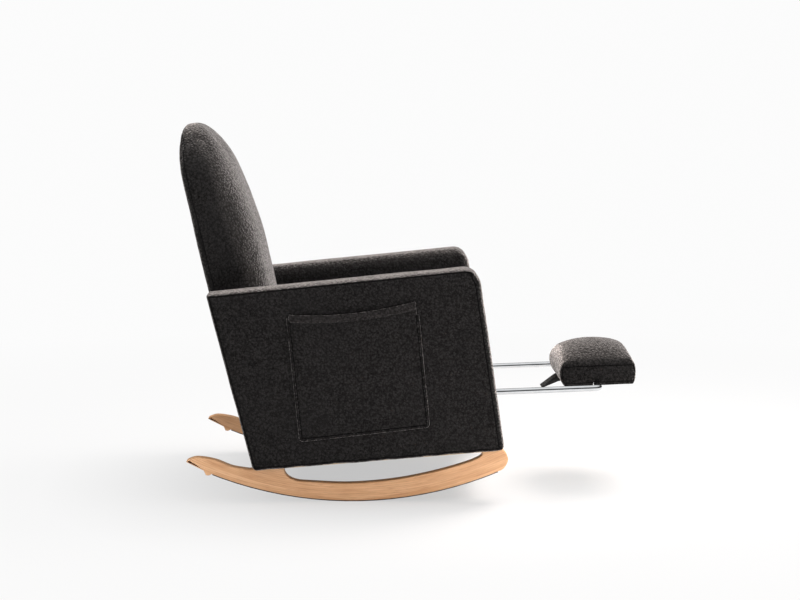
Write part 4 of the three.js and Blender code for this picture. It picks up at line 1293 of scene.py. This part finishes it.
def footrest_tubes():
    """The footrest's bent tube and its rear bar."""
    corners = [(-TUBE_LEG, -TUBE_HALF), (0, -TUBE_HALF), (0, TUBE_HALF), (-TUBE_LEG, TUBE_HALF)]
    path = [(x, y, 0) for x, y in corners]
    values = {"Bend": TUBE_BEND, "Radius": TUBE_RADIUS}
    frame_tube = grown("footrest_tube", [(path, False)], bent_tube_tree, values, FOOTREST)
    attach(frame_tube, "footrest_slide")
    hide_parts("footrest_frame")
    path = [(BAR_X, -BAR_HALF, 0), (BAR_X, BAR_HALF, 0)]
    bar = grown("footrest_bar", [(path, False)], bent_tube_tree, values, FOOTREST)
    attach(bar, "footrest_slide")
    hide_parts("footrest_rear_bar")


NODE_FINISHES = {
    "rail_strip": "rubber",
    "rail_bolt": "zinc",
    "arm_frame": "board",
    "seat_rail": "board",
    "seat_spring": "zinc",
    "spring_clip": "zinc",
    "stretcher": "board",
    "back_frame": "board",
    "tube_plug": "plastic",
    "rod_guide": "plastic",
    "footrest_board": "board",
    "footrest_clip": "zinc",
}


def dress_nodes():
    """Gives each CAD node that stays on show its finish."""
    for name, node in frame["nodes"].items():
        for start, kind in NODE_FINISHES.items():
            if name.startswith(start):
                for slot in node.material_slots:
                    slot.material = finish(kind)


# Studio


def lamp(name, place, target, size, watts, tint):
    """A rectangular lamp aimed at a target, and not seen itself."""
    data = bpy.data.lights.new(name, "AREA")
    data.shape = "RECTANGLE"
    data.size, data.size_y = size
    data.energy = watts
    data.color = linear(tint)[:3]
    obj = bpy.data.objects.new(name, data)
    obj.location = place
    obj.rotation_euler = (Vector(target) - Vector(place)).to_track_quat("-Z", "Y").to_euler()
    obj.visible_camera = False
    obj.visible_glossy = False
    bpy.context.scene.collection.objects.link(obj)


def make_world():
    """An even white room for soft light and the backdrop; mirrors see it darker overhead."""
    world = bpy.data.worlds.new("studio")
    bpy.context.scene.world = world
    world.use_nodes = True
    tree = world.node_tree
    tree.nodes.clear()
    path = add(tree, "ShaderNodeLightPath", output=None)
    place = add(tree, "ShaderNodeTexCoord", output="Generated")
    up = add(tree, "ShaderNodeSeparateXYZ", {0: place}, "Z")
    walls = (up, 0.5, 0.68, 1.0, (0.5, 0.5, 0.5, 1))
    room = layered(tree, (0.01, 0.01, 0.01, 1), walls, (up, 0.68, 0.97, 1.0, (0.95, 0.95, 0.95, 1)))
    mirrored = (path["Is Glossy Ray"], 0.0, 1.0, 1.0, room)
    backdrop = (path["Is Camera Ray"], 0.0, 1.0, 1.0, (0.97, 0.97, 0.97, 1))
    seen = layered(tree, (0.85, 0.85, 0.86, 1), mirrored, backdrop)
    light = add(tree, "ShaderNodeBackground", {"Color": seen, "Strength": 1.0})
    add(tree, "ShaderNodeOutputWorld", {"Surface": light})


def make_floor():
    """A white floor that keeps the soft shadow and fades into the backdrop."""
    steps = 48
    radii = [400, 800, 1400, 2400, 4200, 8000, 16000]
    turns = [2 * math.pi * k / steps for k in range(steps)]
    points = [(0, 0, 0)]
    points += [(r * math.cos(turn), r * math.sin(turn), 0) for r in radii for turn in turns]
    faces = [[0, 1 + k, 1 + (k + 1) % steps] for k in range(steps)]
    for ring in range(len(radii) - 1):
        for k in range(steps):
            a, b = 1 + ring * steps + k, 1 + ring * steps + (k + 1) % steps
            faces.append([a, a + steps, b + steps, b])
    floor = mesh_object("floor", points, faces)
    material = bpy.data.materials.new("white_floor")
    material.use_nodes = True
    tree = material.node_tree
    tree.nodes.clear()
    place = add(tree, "ShaderNodeTexCoord", output="Object")
    far = add(tree, VECTOR, {0: place}, "Value", operation="LENGTH")
    path = add(tree, "ShaderNodeLightPath", output=None)
    rays = {0: path["Is Camera Ray"], 1: path["Is Glossy Ray"]}
    lens = add(tree, MATH, rays, operation="MAXIMUM")
    dimmed = (lens, 0.0, 1.0, 1.0, (0.44, 0.435, 0.433, 1))
    tone = layered(tree, (0.86, 0.86, 0.865, 1), dimmed)
    paper = add(tree, "ShaderNodeBsdfDiffuse", {"Color": tone})
    glow = add(tree, "ShaderNodeEmission", {"Color": (0.97, 0.97, 0.97, 1), "Strength": 1.0})
    near = add(tree, RANGE, {0: far, 1: 0.3, 2: 1.0, 3: 0.54, 4: 0.9})
    beyond = add(tree, RANGE, {0: far, 1: 1.0, 2: 3.0, 4: 0.1})
    fade = add(tree, MATH, {0: near, 1: beyond}, operation="ADD")
    share = add(tree, MATH, {0: fade, 1: lens}, operation="MULTIPLY")
    shine = add(tree, "ShaderNodeMixShader", {0: share, 1: paper, 2: glow})
    add(tree, "ShaderNodeOutputMaterial", {"Surface": shine})
    floor.data.materials.append(material)


# The camera fitted to the photograph, from the line of contact with the floor
CAMERA_PLACE = (CONTACT_X + 0.0565, -4.7434, 1.048)
CAMERA_TURN = (math.radians(90 - 6.757), 0.0, -math.radians(0.838))


def make_camera(studio):
    """The camera that took the photograph."""
    data = bpy.data.cameras.new("camera")
    data.sensor_width = 36.0
    data.lens = studio.lens
    data.clip_end = 60.0
    obj = bpy.data.objects.new("camera", data)
    obj.location = CAMERA_PLACE
    obj.rotation_euler = CAMERA_TURN
    bpy.context.scene.collection.objects.link(obj)
    bpy.context.scene.camera = obj


def make_lights(studio):
    """Broad soft light from above, with a little on the footrest and the front."""
    lamp("top", (0.3, 0.3, 3.2), (-0.05, 0.0, 0.3), (3.0, 2.4), studio.top_power, "FFFFFF")
    fore, front = studio.fore_power, studio.front_power
    lamp("footrest", (0.9, 0.5, 1.6), (0.72, 0.0, 0.3), (0.8, 0.8), fore, "FFF6F0")
    lamp("front", (3.0, -0.6, 1.8), (0.0, 0.0, 0.4), (2.0, 2.0), front, "FFFAF4")


# Settings, operators and panel


def length(name, description, default):
    """A length that a user can change, in metres."""
    return bpy.props.FloatProperty(
        name=name, description=description, default=default, min=0.0, unit="LENGTH"
    )


def colour(name, description, code):
    """A colour that a user can change, from its sRGB hex code."""
    return bpy.props.FloatVectorProperty(
        name=name,
        description=description,
        default=linear(code),
        size=4,
        min=0.0,
        max=1.0,
        subtype="COLOR",
    )


def power(name, description, default):
    """A lamp's power that a user can change, in watts."""
    return bpy.props.FloatProperty(
        name=name, description=description, default=default, min=0.0, unit="POWER"
    )


class ArmchairSizes(bpy.types.PropertyGroup):
    """Sizes of the soft parts and the rails."""

    arm_crown: length("Arm crown", "Rise of an arm's top over its middle", 0.0025)
    seat_crown: length("Seat crown", "Rise of the seat cushion's top", 0.017)
    back_crown: length("Back crown", "Swell of the back cushion's front", 0.008)
    pad_crown: length("Pad crown", "Rise of the footrest pad's top", 0.044)
    pocket_bulge: length("Pocket bulge", "How far a pocket's mouth stands off the arm", 0.0065)
    rail_ease: length("Rail ease", "Radius of the rails' rounded edges", 0.0026)


class ArmchairColours(bpy.types.PropertyGroup):
    """Colours of the cloth and the wood."""

    # The gap colour is painted shade between the loops
    boucle_gap_shade: colour("Boucle gaps", "Cloth between the loops", "020202")
    boucle_loop: colour("Boucle loops", "Loops of the cloth", "242323")
    wood_pale: colour("Pale wood", "Late wood of the rails", "E6B688")
    wood_dark: colour("Darker wood", "Early wood of the rails", "CD9665")


class ArmchairStudio(bpy.types.PropertyGroup):
    """Lamps and lens of the photograph."""

    top_power: power("Top lamp", "Power of the lamp overhead", 110.0)
    fore_power: power("Footrest lamp", "Power of the lamp over the footrest", 70.0)
    front_power: power("Front lamp", "Power of the lamp before the chair", 36.0)
    lens: bpy.props.FloatProperty(
        name="Lens",
        description="Focal length in millimetres",
        default=78.83,
        min=10.0,
        unit="CAMERA",
    )


class ARMCHAIR_OT_arms(bpy.types.Operator):
    """Make the padded covers of both arms"""

    bl_idname = "armchair.arms"
    bl_label = "Arm covers"

    def execute(self, context):
        for side, sign in SIDES:
            arm_cover(side, sign, context.scene.armchair_sizes)
        return {"FINISHED"}


class ARMCHAIR_OT_pockets(bpy.types.Operator):
    """Make the side pockets with their hems, piping and stitches"""

    bl_idname = "armchair.pockets"
    bl_label = "Side pockets"

    def execute(self, context):
        for side, sign in SIDES:
            side_pocket(side, sign, context.scene.armchair_sizes)
        return {"FINISHED"}


class ARMCHAIR_OT_seat(bpy.types.Operator):
    """Make the seat cushion"""

    bl_idname = "armchair.seat"
    bl_label = "Seat cushion"

    def execute(self, context):
        seat_cushion(context.scene.armchair_sizes)
        return {"FINISHED"}


class ARMCHAIR_OT_back(bpy.types.Operator):
    """Make the high back cushion"""

    bl_idname = "armchair.back"
    bl_label = "Back cushion"

    def execute(self, context):
        back_cushion(context.scene.armchair_sizes)
        return {"FINISHED"}


class ARMCHAIR_OT_pad(bpy.types.Operator):
    """Make the footrest pad and its pull tab"""

    bl_idname = "armchair.pad"
    bl_label = "Footrest pad"

    def execute(self, context):
        pad_cushion(context.scene.armchair_sizes)
        pull_tab()
        return {"FINISHED"}


class ARMCHAIR_OT_panels(bpy.types.Operator):
    """Make the padded panel behind the seat and the apron before it"""

    bl_idname = "armchair.panels"
    bl_label = "Rear panel and apron"

    def execute(self, context):
        boucle_panels()
        return {"FINISHED"}


class ARMCHAIR_OT_linings(bpy.types.Operator):
    """Make the deck cloth, the dust cloth with its staples, and the back's straps"""

    bl_idname = "armchair.linings"
    bl_label = "Linings and straps"

    def execute(self, context):
        lining_sheets()
        back_straps()
        return {"FINISHED"}


class ARMCHAIR_OT_rails(bpy.types.Operator):
    """Make the two rocker rails"""

    bl_idname = "armchair.rails"
    bl_label = "Rocker rails"

    def execute(self, context):
        for side, sign in SIDES:
            rocker_rail(side, sign, context.scene.armchair_sizes)
        return {"FINISHED"}


class ARMCHAIR_OT_tubes(bpy.types.Operator):
    """Make the footrest's bent tube and rear bar"""

    bl_idname = "armchair.tubes"
    bl_label = "Footrest tubes"

    def execute(self, context):
        footrest_tubes()
        return {"FINISHED"}


class ARMCHAIR_OT_finishes(bpy.types.Operator):
    """Give the CAD nodes that stay on show their finishes"""

    bl_idname = "armchair.finishes"
    bl_label = "Node finishes"

    def execute(self, context):
        dress_nodes()
        return {"FINISHED"}


class ARMCHAIR_OT_studio(bpy.types.Operator):
    """Make the backdrop, floor, camera and lamps"""

    bl_idname = "armchair.studio"
    bl_label = "Studio"

    def execute(self, context):
        make_world()
        make_floor()
        make_camera(context.scene.armchair_studio)
        make_lights(context.scene.armchair_studio)
        context.scene.view_settings.view_transform = "Standard"
        return {"FINISHED"}


SETTINGS = {
    "armchair_sizes": ArmchairSizes,
    "armchair_colours": ArmchairColours,
    "armchair_studio": ArmchairStudio,
}
OPERATORS = (
    ARMCHAIR_OT_arms,
    ARMCHAIR_OT_pockets,
    ARMCHAIR_OT_seat,
    ARMCHAIR_OT_back,
    ARMCHAIR_OT_pad,
    ARMCHAIR_OT_panels,
    ARMCHAIR_OT_linings,
    ARMCHAIR_OT_rails,
    ARMCHAIR_OT_tubes,
    ARMCHAIR_OT_finishes,
    ARMCHAIR_OT_studio,
)


class ARMCHAIR_PT_panel(bpy.types.Panel):
    """Lists the settings and the steps in the sidebar"""

    bl_idname = "ARMCHAIR_PT_panel"
    bl_label = "Rocking armchair"
    bl_space_type = "VIEW_3D"
    bl_region_type = "UI"
    bl_category = "Armchair"

    def draw(self, context):
        for name, group in SETTINGS.items():
            box = self.layout.box()
            for key in group.__annotations__:
                box.prop(getattr(context.scene, name), key)
        for operator in OPERATORS:
            self.layout.operator(operator.bl_idname)


def register():
    """Registers the classes, and gives the scene its settings."""
    for group in (*SETTINGS.values(), *OPERATORS, ARMCHAIR_PT_panel):
        bpy.utils.register_class(group)
    for name, group in SETTINGS.items():
        setattr(bpy.types.Scene, name, bpy.props.PointerProperty(type=group))


def unregister():
    """Takes away what register gave."""
    for name in SETTINGS:
        delattr(bpy.types.Scene, name)
    for group in reversed((*SETTINGS.values(), *OPERATORS, ARMCHAIR_PT_panel)):
        bpy.utils.unregister_class(group)


def main():
    """Makes the armchair and its studio through the operators."""
    register()
    for operator in OPERATORS:
        getattr(bpy.ops.armchair, operator.bl_idname.split(".")[1])()


if __name__ == "__main__":
    main()
